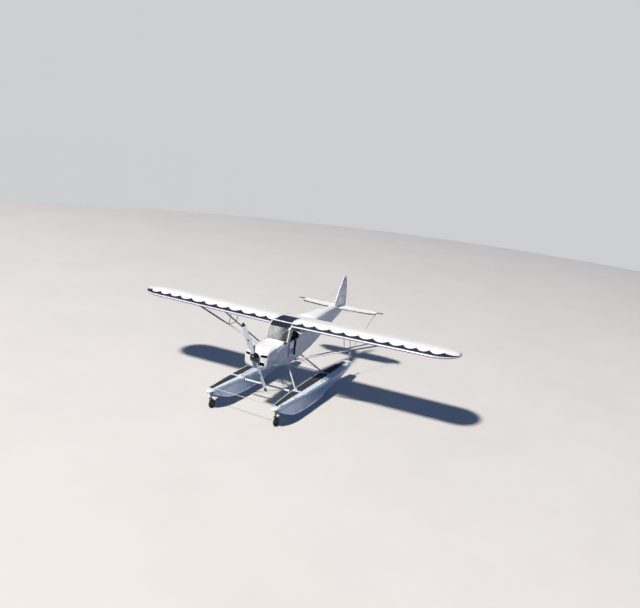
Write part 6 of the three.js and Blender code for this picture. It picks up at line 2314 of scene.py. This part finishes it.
# ---------------------------------------------------------------- nose
@dataclass
class Nose:
    """Cowling with its inlets and scoop, and the flat four engine inside it."""

    # Columns: station, half width, top, bottom, squareness.
    cowl: tuple[tuple[float, ...], ...] = (
        (-1425, 296, -584, -950, 3.4), (-1390, 362, -528, -1006, 3.6), (-1320, 382, -486, -1036, 3.8),
        (-1200, 379, -457, -1044, 4), (-1000, 368, -437, -1044, 4.2), (-760.4, 358, -430, -1040, 4.4))
    # The upper half's section: lean-in start, crease place and height, and the crown's fullness, in shares.
    flank: tuple[float, float, float, float] = (0.3, 0.905, 0.795, 4.0)
    inlet: tuple[float, float, float, float] = (163, 354, -646, -572)
    scoop: tuple[float, float, float, float] = (148, 300, -896, -792)
    shaft_z: float = -668.0
    split_z: float = -742.0

    def beyond(self, x: float, z: float, square: float) -> bool:
        """Returns whether a place, in shares of the half width and height, lies outside the section.

        Args:
            x: the place across the craft.
            z: the height.
            square: how square the section is.

        Returns:
            Whether it does.
        """
        start, crease, height, full = self.flank
        x = abs(x)
        if x ** square + abs(z) ** square > 1:
            return True
        if z < start:
            return False
        if x > crease:
            return z > lerp(height, start, (x - crease) / (1 - crease))
        return z > lerp(1, height, (x / crease) ** full)

    def ring(self, y: float, grow: float = 0.0, sides: int = 112) -> list[Vector]:
        """Returns the cowling's section at a station, grown outward.

        Args:
            y: the station.
            grow: how far outward it is moved.
            sides: how many flats make it round.

        Returns:
            The section.
        """
        half, top, bottom, square = along(self.cowl, y, smooth=True)
        points = []
        for i in range(sides):
            x, z = rounded(math.tau * (i + 0.5) / sides, 2 / square)
            low, high = 0.5, 1.0
            for _ in range(16 if self.beyond(x * 0.9999, z * 0.9999, square) else 0):
                middle = (low + high) / 2
                low, high = (low, middle) if self.beyond(x * middle, z * middle, square) else (middle, high)
            points.append(Vector((x * high * (half + grow), y,
                                  (top + bottom) / 2 + z * high * ((top - bottom) / 2 + grow))))
        return points

    def front_y(self, x: float, z: float) -> float:
        """Returns where a line that runs aft at x and z meets the nose.

        Args:
            x: the place across the craft.
            z: the height.

        Returns:
            The station.
        """
        low, high = -1425.0, -1300.0
        for _ in range(24):
            middle = (low + high) / 2
            half, top, bottom, square = along(self.cowl, middle, smooth=True)
            out = self.beyond(x / half, (z - (top + bottom) / 2) / ((top - bottom) / 2), square)
            low, high = (middle, high) if out else (low, middle)
        return low

    def top_z(self, x: float, y: float) -> float:
        """Returns the cowling's height at a place on top.

        Args:
            x: the place across the craft.
            y: the station.

        Returns:
            The height.
        """
        half, top, bottom, _ = along(self.cowl, y, smooth=True)
        _, crease, height, full = self.flank
        return (top + bottom) / 2 + (top - bottom) / 2 * lerp(1, height, (abs(x / half) / crease) ** full)

    def side_x(self, y: float, z: float) -> float:
        """Returns the cowling's half width at a station and a height.

        Args:
            y: the station.
            z: the height.

        Returns:
            The half width.
        """
        half, top, bottom, square = along(self.cowl, y, smooth=True)
        rise = min(1.0, abs((z - (top + bottom) / 2) / ((top - bottom) / 2)))
        return half * (1 - rise ** square) ** (1 / square)

    def shell(self) -> Shape:
        """Builds the cowling's skin: out over the bowl, over its lip at the firewall and back inside.

        Returns:
            The skin.
        """
        stops = [-1425, -1421, -1415, -1407, -1398, -1388, -1376, -1362, *spread(-1345, -760.4, 30)]
        outer = [self.ring(y) for y in stops]
        inner = [[Vector((p.x, y + (9 if y < -1420 else 0), p.z)) for p in self.ring(y, -9)] for y in stops[::-1]]
        front, behind = [[[Vector((p.x * (1 - s), y, lerp(p.z, -767, s))) for p in self.ring(-1425, grow)]
                          for s in (0.04, 0.5)] for y, grow in ((-1425, 0), (-1416, -9))]
        body = Shape().loft([*front[::-1], *outer, *inner, *behind], caps=False)
        for ring in (front[1], behind[1]):
            count = len(ring)
            body.patch([(0, ring[0].y, -767), *ring], [(0, 1 + i, 1 + (i + 1) % count) for i in range(count)])
        return body

    def edge(self, box: tuple[float, float, float, float], radius: float) -> tuple[Vector, list[Vector]]:
        """Returns an opening's middle and its outline with round corners.

        Args:
            box: its sides and its bottom and top.
            radius: its radius.

        Returns:
            The middle and the outline.
        """
        x0, x1, z0, z1 = box
        middle, u, v = Vector(((x0 + x1) / 2, 0, (z0 + z1) / 2)), (x1 - x0) / 2 - radius, (z1 - z0) / 2 - radius
        corners = ((u, v, 0), (-u, v, 90), (-u, -v, 180), (u, -v, 270))
        return middle, [p for x, z, start in corners
                        for p in arc(middle + Vector((x, 0, z)), OUT * radius, UP * radius, start, start + 90, 7)]

    def cutters(self) -> list[Shape]:
        """Builds the shapes of the openings.

        Returns:
            The shapes.
        """
        made = [Shape().loft([[(p.x, y, p.z) for p in self.edge(box, radius)[1]] for y in (-1460, -1240)]).sided(sign)
                for box, radius, sign in ((self.inlet, 24, 1), (self.inlet, 24, -1), (self.scoop, 16, 1))]
        shaft = Shape().turned(((0, 0), (70, 0), (70, 90), (0, 90)), (0, -1460, self.shaft_z), AFT, 48)
        outlet = Shape().slab((-210, -850, -1090), (210, -700, -1000))
        return [*made, shaft, outlet]

    def lips(self) -> tuple[Shape, Shape]:
        """Builds the rolled lips of the openings and the ducts behind them, painted near black as shade.

        Returns:
            The lips and the ducts.
        """
        lips, ducts = Shape(), Shape()
        for box, radius, depth, signs in ((self.inlet, 24, 150, (1, -1)), (self.scoop, 16, 90, (1,))):
            middle, edge = self.edge(box, radius)
            rings = []
            for turn in range(0, 360, 45):
                t = math.radians(turn)
                ring = []
                for p in edge:
                    out = (p - middle).normalized()
                    q = p + out * 3.2 * math.cos(t)
                    ring.append(Vector((q.x, self.front_y(p.x, p.z) + 1 + 3.2 * math.sin(t), q.z)))
                rings.append(ring)
            lip = Shape().loft(rings + [rings[0]], caps=False)
            rows = [[Vector((p.x, self.front_y(p.x, p.z) + 3, p.z)) for p in edge],
                    *[[Vector((lerp(p.x, middle.x, s), y, lerp(p.z, middle.z, s))) for p in edge]
                      for s, y in ((0.12, -1395 + depth * 0.5), (0.3, -1395 + depth))]]
            thin = [[p + (p - Vector((middle.x, p.y, middle.z))).normalized() * 2 for p in row] for row in rows]
            # the duct ends in a flat plate; all of it is painted near black as shade
            duct = Shape().loft([*rows, *thin[::-1], rows[0]], caps=False).prism(rows[2], (0, 2, 0))
            for sign in signs:
                lips.add(lip.sided(sign))
                ducts.add(duct.sided(sign))
        ring = [arc((0, y, self.shaft_z), (r, 0, 0), (0, 0, r), 0, 352.5, 48)
                for r, y in ((70, -1414), (72, -1427), (78, -1427), (79, -1424), (70, -1424))]
        lips.loft(ring + [ring[0]], caps=False)
        return lips, ducts

    def seams(self) -> tuple[Shape, Shape]:
        """Builds the raised seams, the oil door and the quarter turn fasteners.

        Returns:
            The strips and the fasteners.
        """
        strips, studs = Shape(), Shape()
        for y, wide in ((-1322, 13), (-778, 14)):
            rings = [self.ring(y - wide, 0.2), self.ring(y - wide, 1.8), self.ring(y + wide, 1.8),
                     self.ring(y + wide, 0.2)]
            strips.loft(rings, caps=False)
            edge = self.ring(y, 1.8)
            middle = Vector((0, y, -745))
            studs.rivets([(p, (p - middle).normalized()) for p in edge[::5]], 6.5, 2.2)
        for sign in (1, -1):
            rows = []
            for y in spread(-1310, -790, 24):
                x = self.side_x(y, self.split_z)
                rows.append([Vector((sign * (x + d), y, self.split_z + h))
                             for d, h in ((0, -12), (1.8, -12), (1.8, 12), (0, 12))])
            strips.loft(rows)
            spots = [(Vector((sign * (self.side_x(y, self.split_z) + 1.8), y, self.split_z)), Vector((sign, 0, 0)))
                     for y in spread(-1290, -810, 6)]
            studs.rivets(spots, 7, 2.4)
        line = [Vector((0, y, along(self.cowl, y, smooth=True)[1] + 1.5)) for y in spread(-1305, -790, 20)]
        strips.tube(line, 4.5, 10)
        rings = []
        for size, rise in ((1.0, 0.2), (1.0, 2.2), (0.94, 2.8)):
            ring = []
            for i in range(36):
                a, b = rounded(math.tau * i / 36, 0.4)
                x, y = 150 + 62 * size * a, -960 + 78 * size * b
                ring.append(Vector((x, y, self.top_z(x, y) + rise)))
            rings.append(ring)
        strips.loft(rings)
        studs.turned(((0, 0), (9, 0), (9, 2), (0, 3)), (150, -1018, rings[2][0].z + 0.5), UP, 16)
        return strips, studs

    def engine(self) -> tuple[Shape, Shape]:
        """Builds the crankcase, four finned cylinders, their covers, the mount and the exhausts.

        Returns:
            The engine and its exhausts.
        """
        case, pipes = Shape(), Shape()
        outline = [(90, -1240), (104, -1180), (112, -1000), (96, -800), (-96, -800), (-112, -1000), (-104, -1180),
                   (-90, -1240)]
        case.loft([[Vector((x * s, y, z)) for x, y in outline]
                   for z, s in ((-864, 0.72), (-830, 0.9), (-700, 1), (-640, 0.86), (-620, 0.6))])
        case.turned(((0, 0), (58, 0), (58, 16), (46, 30), (40, 60), (0, 60)), (0, -1238, self.shaft_z), AFT, 28)
        for sign in (1, -1):
            for y in (-1135, -935):
                profile = [(0, 60), (62, 60)]
                for i in range(13):
                    h = 96 + i * 7.5
                    profile += [(52, h), (70, h + 1.2), (70, h + 2.6), (52, h + 3.8)]
                profile += [(64, 200), (66, 214), (40, 222), (0, 222)]
                case.turned(profile, (0, y, -706), (sign, 0, 0), 28)
                cover = [Vector((sign * 222, y + dy, -706 + dz))
                         for dy, dz in ((-52, -30), (-40, -52), (40, -52), (52, -30), (52, 30), (40, 52), (-40, 52),
                                        (-52, 30))]
                case.loft([cover, [p + Vector((sign * 16, 0, 0)) for p in cover],
                           [p.lerp(Vector((sign * 222, y, -706)), 0.25) + Vector((sign * 22, 0, 0))
                            for p in cover]], 1)
                for d in (-22, 22):
                    case.tube([(sign * 104, y + d, -662), (sign * 226, y + d, -672)], 7, 8)
                pipes.tube([(sign * 160, y, -752), (sign * 170, y + 20, -830), (sign * 150, y + 90, -868)], 17, 14)
            pipes.tube([(sign * 152, -1100, -868), (sign * 152, -860, -868)], 21, 16)
            for z in (-812, -648):
                case.tube([(sign * 96, -810, z), (sign * 116, -762, z)], 10, 10)
        pipes.tube([(150, -860, -868), (150, -800, -930), (146, -770, -1010), (140, -730, -1072)], 24, 18)
        pipes.tube([(-150, -860, -868), (-60, -830, -900), (60, -830, -900), (146, -790, -960)], 19, 14)
        return case, pipes

    def build(self) -> None:
        """Makes the cowling and the engine."""
        self.shell().piece("cowling_skin", "airframe", "white_paint", ENAMEL, replaces=["cowling"],
                           cutters=self.cutters(), angle=17)
        lips, ducts = self.lips()
        lips.piece("cowling_lips", "airframe", "white_paint", ENAMEL)
        # the ducts are painted near black as shade inside the openings
        ducts.piece("cowling_ducts", "airframe", "dark_plastic", DUCT_PAINTED_SHADE)
        strips, studs = self.seams()
        strips.piece("cowling_seams", "airframe", "white_paint", ENAMEL)
        studs.piece("cowling_studs", "airframe", "cast_metal", SHEET_METAL)
        case, pipes = self.engine()
        case.piece("engine_case", "airframe", "cast_metal", CASTING, BLACK_ENAMEL, replaces=["engine_block"],
                   bevel=1.5)
        pipes.piece("engine_exhausts", "airframe", "cast_metal", EXHAUST)


@dataclass
class Propeller:
    """Two-blade propeller in silver enamel with black tips, behind a black spinner."""

    hub: tuple[float, float] = (-1485.0, -668.0)
    lean: float = 27.0
    # Columns: radius, chord, thickness, pitch.
    blade: tuple[tuple[float, ...], ...] = (
        (40, 70, 60, 50), (130, 92, 44, 46), (300, 134, 26, 35), (560, 150, 17, 25), (820, 134, 11, 19),
        (980, 104, 8, 15),
        (1040, 46, 6, 13))
    tip: float = 930.0
    spinner: tuple[tuple[float, float], ...] = (
        (0, -50), (128, -50), (132, -48), (133.5, -40), (135, -20), (130, 22), (113, 72), (82, 120), (42, 152),
        (0, 164))

    def section(self, r: float) -> list[Vector]:
        """Returns a blade's section: cambered in front and nearly flat behind.

        Args:
            r: the radius.

        Returns:
            The ring.
        """
        chord, thick, pitch = along(self.blade, r, smooth=True)
        turn, ring = math.radians(pitch), []
        round_share = max(0.0, min(1.0, (200 - r) / 120))
        for i in range(32):
            a = math.tau * i / 32
            u = chord / 2 * math.cos(a)
            bulge = math.sin(a) * thick / 2
            flat = bulge * (1.15 if bulge < 0 else 0.62) * (1 - 0.35 * math.cos(a)) if round_share < 1 else bulge
            v = lerp(flat, bulge, round_share)
            ring.append(Vector((u * math.cos(turn) - v * math.sin(turn), u * math.sin(turn) + v * math.cos(turn), r)))
        return ring

    def set_up(self, shape: Shape) -> Shape:
        """Turns a shape about the shaft and moves it to the hub."""
        return shape.swung("Y", -self.lean, (0, 0, 0)).moved((0, self.hub[0], self.hub[1]))

    def blades(self) -> Shape:
        """Builds both blades, the hub bar and the shaft.

        Returns:
            The blades.
        """
        radii = sorted({*spread(40, 1000, 46), self.tip, self.tip + 2, *spread(1004, 1039, 7)})
        upper = Shape().loft([self.section(r) for r in radii], coat_of=lambda r, _: 1 if radii[r] >= self.tip else 0)
        face = self.section(530)
        ahead = min(p.y for p in face)
        dot = Shape().turned(((0, -6), (24, -6), (25, 0.4), (0, 1.2)), (4, ahead + 3, 530), (0, -1, 0), 24, coat=1)
        upper.add(dot)
        whole = Shape()
        for turn in (0, 180):
            whole.add(upper.sided(1).swung("Y", turn, (0, 0, 0)))
        whole.turned(((0, -46), (66, -46), (71, -40), (71, 40), (66, 46), (0, 46)), (0, 0, 0), AFT, 40)
        whole.turned(((0, 40), (34, 40), (34, 243), (0, 243)), (0, 0, 0), AFT, 28)
        return self.set_up(whole)

    def build(self) -> None:
        """Makes the propeller and its spinner."""
        self.blades().piece("propeller_blades", "propeller_unit", "blade_paint", BLADE, BLACK_ENAMEL,
                            replaces=["propeller"])
        table = tuple((h, r) for r, h in self.spinner[4:])
        profile = list(self.spinner[:4]) + [(along(table, h, smooth=True)[0], h) for h in spread(-20, 150, 22)]
        profile += [(34, 156), (22, 161.5), (10, 163.6), (0, 164)]
        cap = Shape().turned(profile, (0, 0, 0), (0, -1, 0), 72)
        bore = Shape().turned(((0, -60), (73, -60), (73, 60), (0, 60)), (0, 0, 0), AFT, 40)
        slots = [Shape().slab((-52, -50, 0), (52, 62, 200)), Shape().slab((-52, -50, -200), (52, 62, 0))]
        self.set_up(cap).piece("spinner_shell", "propeller_unit", "dark_gloss", LACQUER, replaces=["spinner"],
                               cutters=[self.set_up(s) for s in (bore, *slots)], angle=40)
        trim = Shape()
        ring = [arc((0, y, 0), (r, 0, 0), (0, 0, r), 0, 355, 72)
                for r, y in ((129, 46), (135.5, 46), (135.5, 40), (134, 38), (129, 38))]
        trim.loft(ring + [ring[0]], caps=False)
        for i in range(8):
            t = math.radians(22.5 + 45 * i)
            out = Vector((math.cos(t), 0, math.sin(t)))
            trim.rivets([(out * 133.6 + Vector((0, 22, 0)), out)], 4.5, 1.8)
        self.set_up(trim).piece("spinner_trim", "propeller_unit", "dark_gloss", BLACK_ENAMEL)


# ---------------------------------------------------------------- gear
@dataclass
class Gear:
    """Wheels, forks, water rudders and the lines that run to them."""

    middle: float = 1060.0
    main: tuple[float, float, float, float] = (1090, 180, 110, 85)  # station, radius, width, rim
    nose: tuple[float, float, float, float] = (-1880, 125, 86, 62)
    stem_y: float = -1930.0
    rudder_y: float = 3324.0

    def wheel(self, size: tuple[float, float, float, float]) -> tuple[Shape, Shape]:
        """Builds a grooved tyre and its cast hub, at rest in its place on the middle line.

        Args:
            size: station, radius, width and rim.

        Returns:
            The tyre and the hub.
        """
        y, radius, width, rim = size
        w, k = width / 2, radius / 180
        near = [(rim - 6, w * 0.40), (rim - 2, w * 0.80), (rim + 6, w * 0.88), (lerp(rim, radius, 0.35), w * 0.98),
                (lerp(rim, radius, 0.55), w * 0.995), (lerp(rim, radius, 0.74), w * 0.93),
                (lerp(rim, radius, 0.88), w * 0.76),
                (radius * 0.985, w * 0.56), (radius * 0.996, w * 0.44)]
        groove = [(radius * 0.997, w * 0.40), (radius * 0.965, w * 0.38), (radius * 0.965, w * 0.33),
                  (radius * 0.999, w * 0.31),
                  (radius, w * 0.1), (radius * 0.965, w * 0.07)]
        half = near + groove
        profile = half + [(r, -h) for r, h in half[::-1]]
        centre, axis = Vector((0, y, GROUND + radius)), OUT
        rings = [circle(centre + axis * h, axis, r, 72) for r, h in profile]
        tyre = Shape().loft(rings + [rings[0]], caps=False)
        for sign in (1, -1):
            for i in range(36):  # cross cuts' raised shoulder blocks
                t = math.tau * i / 36
                way = Vector((0, math.cos(t), math.sin(t)))
                side = Vector((0, -math.sin(t), math.cos(t)))
                p = centre + way * radius * 0.925 + axis * sign * w * 0.66
                block = [p + side * a * 5 * k + (way * 9 * k - axis * sign * 8 * k) * b
                         for a, b in ((-1, -1), (1, -1), (1, 1), (-1, 1))]
                tyre.prism([q - way * 1 for q in block], (way * 3 + axis * sign * 3) * k)
        hub = Shape()
        face = w * 0.56
        hub_profile = [(0, -face), (rim * 0.3, -face), (rim * 0.34, -face * 0.86), (rim * 0.62, -face * 0.6),
                       (rim * 0.84, -face * 0.66),
                       (rim - 2, -face * 1.3), (rim + 1, -w * 0.84), (rim + 3, -w * 0.8), (rim - 5, -face * 1.0)]
        hub.turned(hub_profile + [(r, -h) for r, h in hub_profile[::-1]], centre, axis, 48)
        for sign in (1, -1):
            for i in range(6):
                t = math.tau * (i + 0.5) / 6
                way = Vector((0, math.cos(t), math.sin(t)))
                p = centre + way * rim * 0.56 + axis * sign * face * 0.62
                hub.turned(((0, -2), (5 * k, -2), (5 * k, 4 * k), (0, 5 * k)), p, axis * sign, 6)
        return tyre, hub

    def main_fork(self) -> Shape:
        """Builds the main wheel's trailing fork with its bridge, pivot block and axle nuts.

        Returns:
            The fork.
        """
        parts, (y, radius, width, _) = Shape(), self.main
        z, out = GROUND + radius, width / 2 + 15
        for sign in (1, -1):
            parts.strut((sign * out, 798, -2145), (sign * out, y + 16, z), 44, 12, 20)
            parts.turned(((0, -7), (24, -7), (26, 0), (24, 7), (0, 7)), (sign * out, y, z), OUT, 24)
            parts.tube([(sign * (out + 10), y, z), (sign * (width / 2 * 0.62 + 0.6), y, z)], 12.6, 18)
            parts.turned(((0, 0), (16, 0), (16, 9), (0, 12)), (sign * (out + 7), y, z), (sign, 0, 0), 6)
        parts.tube([(-out - 5, 812, -2148), (out + 5, 812, -2148)], 21.6, 24)
        parts.loft([[Vector((x * s, py, pz)) for x, py in ((-38, 772), (38, 772), (38, 848), (-38, 848))]
                    for pz, s in ((-2146, 0.8), (-2128, 1), (-2112, 1))])
        return parts

    def nose_fork(self) -> Shape:
        """Builds the caster's fork with its crown, stem and axle nuts.

        Returns:
            The fork.
        """
        parts, (y, radius, width, _) = Shape(), self.nose
        z, out = GROUND + radius, width / 2 + 13
        crown = z + radius + 26
        for sign in (1, -1):
            parts.strut((sign * out, self.stem_y, crown), (sign * out, y, z), 36, 10, 20)
            parts.turned(((0, -6), (18, -6), (19, 0), (18, 6), (0, 6)), (sign * out, y, z), OUT, 20)
            parts.tube([(sign * (out + 8), y, z), (sign * (width / 2 * 0.62 + 0.6), y, z)], 8.6, 14)
            parts.turned(((0, 0), (12, 0), (12, 6), (0, 8)), (sign * (out + 5), y, z), (sign, 0, 0), 6)
        ring = [(-out - 5, -22), (-out + 6, -24), (out - 6, -24), (out + 5, -22), (out + 5, 22), (out - 6, 24),
                (-out + 6, 24), (-out - 5, 22)]
        parts.loft([[Vector((x * s, self.stem_y + dy * s, pz)) for x, dy in ring]
                    for pz, s in ((crown - 8, 0.93), (crown - 4, 1), (crown + 11, 1), (crown + 16, 0.93))])
        parts.turned(((0, crown), (26, crown), (26, crown + 24), (19.6, crown + 28), (19.6, -1993), (0, -1993)),
                     (0, self.stem_y, 0), UP, 28)
        return parts

    def water_rudder(self) -> Shape:
        """Builds a raised water rudder: a beaded blade, its post and its tiller arms.

        Returns:
            The rudder.
        """
        foot, high, chord, y = -1730.0, -1470.0, 190.0, self.rudder_y
        outline = [(-26, foot), (30, foot), (70, foot + 50), (chord, high - 60), (chord - 8, high - 20),
                   (chord - 30, high),
                   (20, high), (-12, high - 24), (-26, high - 60)]
        blade = Shape().prism([Vector((-3, y + dy, z)) for dy, z in outline], (6, 0, 0))
        for (dy0, z0), (dy1, z1) in (((10, foot + 30), (chord - 50, high - 70)),
                                     ((4, foot + 90), (chord - 90, high - 36))):
            for x in (-3, 3):
                blade.tube([(x, y + dy0, z0), (x, y + dy1, z1)], 3.4, 8)
        for (dy, z), (ey, ez) in zip(outline, outline[1:] + outline[:1]):
            blade.tube([(0, y + dy, z), (0, y + ey, ez)], 4.2, 8)
        blade.tube([(0, y, -1790), (0, y, -1600)], 14.8, 24)
        blade.tube([(0, y, -1606), (0, y, -1462)], 7, 14)
        blade.turned(((0, 0), (11, 0), (12, 5), (8, 9), (0, 9)), (0, y, -1470), UP, 16)
        for sign in (1, -1):
            blade.slab((min(0, sign * 74), y - 9, -1797), (max(0, sign * 74), y + 9, -1791))
        return blade

    def line(self) -> Shape:
        """Builds the left taut line from the tailplane's tip down to its water rudder's post.

        Returns:
            The line.
        """
        tail, ends = Shape(), (Vector((1392, 4660, -272)), Vector((self.middle, self.rudder_y, -1458)))
        tail.tube([ends[0].lerp(ends[1], t) for t in spread(0, 1, 30)], 7, 10)
        for end, other in (ends, ends[::-1]):
            tail.turned(((0, 0), (9, 4), (11, 30), (9, 64), (0, 70)), end, other - end, 14)
        return tail

    def build(self) -> None:
        """Makes the wheels, forks and water rudders."""
        sizes = (("main", self.main, "main_wheel_unit", self.main_fork(), "airframe", STRUT_ENAMEL, "strut_paint"),
                 ("nose", self.nose, "nose_wheel_unit", self.nose_fork(), "nose_gear", BLACK_ENAMEL, "dark_plastic"))
        rudder = self.water_rudder()
        for side, sign in SIDES:
            there = (sign * self.middle, 0, 0)
            for stem, size, body, fork, fork_body, finish, slot in sizes:
                tyre, hub = self.wheel(size)
                tyre.moved(there).piece(f"{stem}_tyre_{side}", f"{body}_{side}", "tyre_rubber", RUBBER,
                                        replaces=[f"{stem}_wheel_{side}"])
                hub.moved(there).piece(f"{stem}_hub_{side}", f"{body}_{side}", "cast_metal", CASTING)
                on = fork_body if fork_body == "airframe" else f"{fork_body}_{side}"
                fork.sided(sign).moved(there).piece(f"{stem}_fork_bars_{side}", on, slot, finish,
                                                    replaces=[f"{stem}_fork_{side}"])
            rudder.sided(sign).moved(there).piece(f"water_rudder_blade_{side}", f"water_rudder_unit_{side}",
                                                  "hull_skin", ENAMEL,
                                                  replaces=[f"water_rudder_{side}"])
            # the left line is a darker brown copy of the rope
            self.line().sided(sign).piece(f"tail_line_{side}", "airframe", "cast_metal",
                                          DARK_BROWN_ROPE if sign > 0 else ROPE)


# ---------------------------------------------------------------- studio
@dataclass
class Studio:
    """A pale floor, soft lights and the camera."""

    eye: tuple[float, float, float] = (9.114, -19.998, 8.007)
    around: float = 23.15
    down: float = 13.39
    roll: float = 6.11
    lens: float = 39.82

    def camera(self) -> None:
        """Puts the camera at the photograph's angle."""
        data = bpy.data.cameras.new("view")
        data.lens, data.sensor_width, data.clip_end = self.lens, 36.0, 400.0
        az, el, roll = (math.radians(v) for v in (self.around, self.down, self.roll))
        back = Vector((math.sin(az) * math.cos(el), -math.cos(az) * math.cos(el), math.sin(el)))
        right = Vector((math.cos(az), math.sin(az), 0))
        up = back.cross(right)
        across, above = right * math.cos(roll) + up * math.sin(roll), up * math.cos(roll) - right * math.sin(roll)
        turn = Matrix((across, above, back)).transposed()
        made = bpy.data.objects.new("view", data)
        made.matrix_world = Matrix.Translation(Vector(self.eye)) @ turn.to_4x4()
        bpy.context.scene.collection.objects.link(made)
        bpy.context.scene.camera = made

    def lamp(self, name: str, place: Sequence[float], size: float, power: float, tint: str) -> None:
        """Adds a soft square light that faces the craft.

        Args:
            name: the light's name.
            place: where it hangs.
            size: the length of its side.
            power: the light in watts.
            tint: its colour.
        """
        data = bpy.data.lights.new(name, "AREA")
        data.size, data.energy, data.color = size, power, linear(tint)[:3]
        made = bpy.data.objects.new(name, data)
        made.location = Vector(place)
        made.rotation_euler = (Vector((0, 0, 1.2)) - Vector(place)).to_track_quat("-Z", "Y").to_euler()
        bpy.context.scene.collection.objects.link(made)

    def backdrop(self) -> None:
        """Hangs a plain pale dome behind everything, which throws no light on the craft."""
        dome = Shape().turned([(45000 * math.cos(t), 45000 * math.sin(t)) for t in spread(-0.02, math.pi / 2, 12)],
                              (0, 0, GROUND), UP, 48).solid("backdrop")
        paint = bpy.data.materials.new("backdrop_paper")
        paint.use_nodes = True
        shader = paint.node_tree.nodes["Principled BSDF"]
        shader.inputs["Base Color"].default_value = linear("#000000")
        shader.inputs["Emission Color"].default_value = linear("#c9cbcd")
        shader.inputs["Emission Strength"].default_value = 1.0
        dome.data.materials.append(paint)
        dome.visible_diffuse = dome.visible_glossy = dome.visible_shadow = False

    def build(self) -> None:
        """Makes the whole studio."""
        self.camera()
        paint = Finish("studio_floor", "#cfcfd0", "#cbcbcc", "#c5c5c6", Relief.SPRAYED, 60.0, 0.2,
                       rough=(0.75, 0.9), soil=0.2, patch=4000.0)
        floor = Shape().loft([[Vector((x, y, GROUND)) for x in spread(-90000, 90000, 9)]
                              for y in spread(-90000, 90000, 9)], closed=False).solid("floor")
        floor.data.materials.append(paint.material())
        floor.visible_diffuse = False  # the floor shows in gloss but throws no light up at the craft
        world = bpy.data.worlds.new("studio")
        world.use_nodes = True
        world.node_tree.nodes["Background"].inputs["Color"].default_value = linear("#9dbcf6")
        world.node_tree.nodes["Background"].inputs["Strength"].default_value = 0.22
        bpy.context.scene.world = world
        self.backdrop()
        self.lamp("key", (-30, -96, 148), 15.0, 477000, "#fff6e8")
        bpy.context.scene.view_settings.view_transform = "Standard"


def main() -> None:
    """Builds the craft, assembly by assembly."""
    logging.basicConfig(level=logging.INFO, format="%(message)s")
    Studio().build()
    wing, hull = Wing(), FloatHull()
    wing.build()
    RearFuselage().build()
    Tail().build()
    Struts().build(wing, hull)
    hull.build()
    Cabin().build(wing)
    Doors().build()
    Seats().build()
    Nose().build()
    Propeller().build()
    Gear().build()


if __name__ == "__main__":
    main()
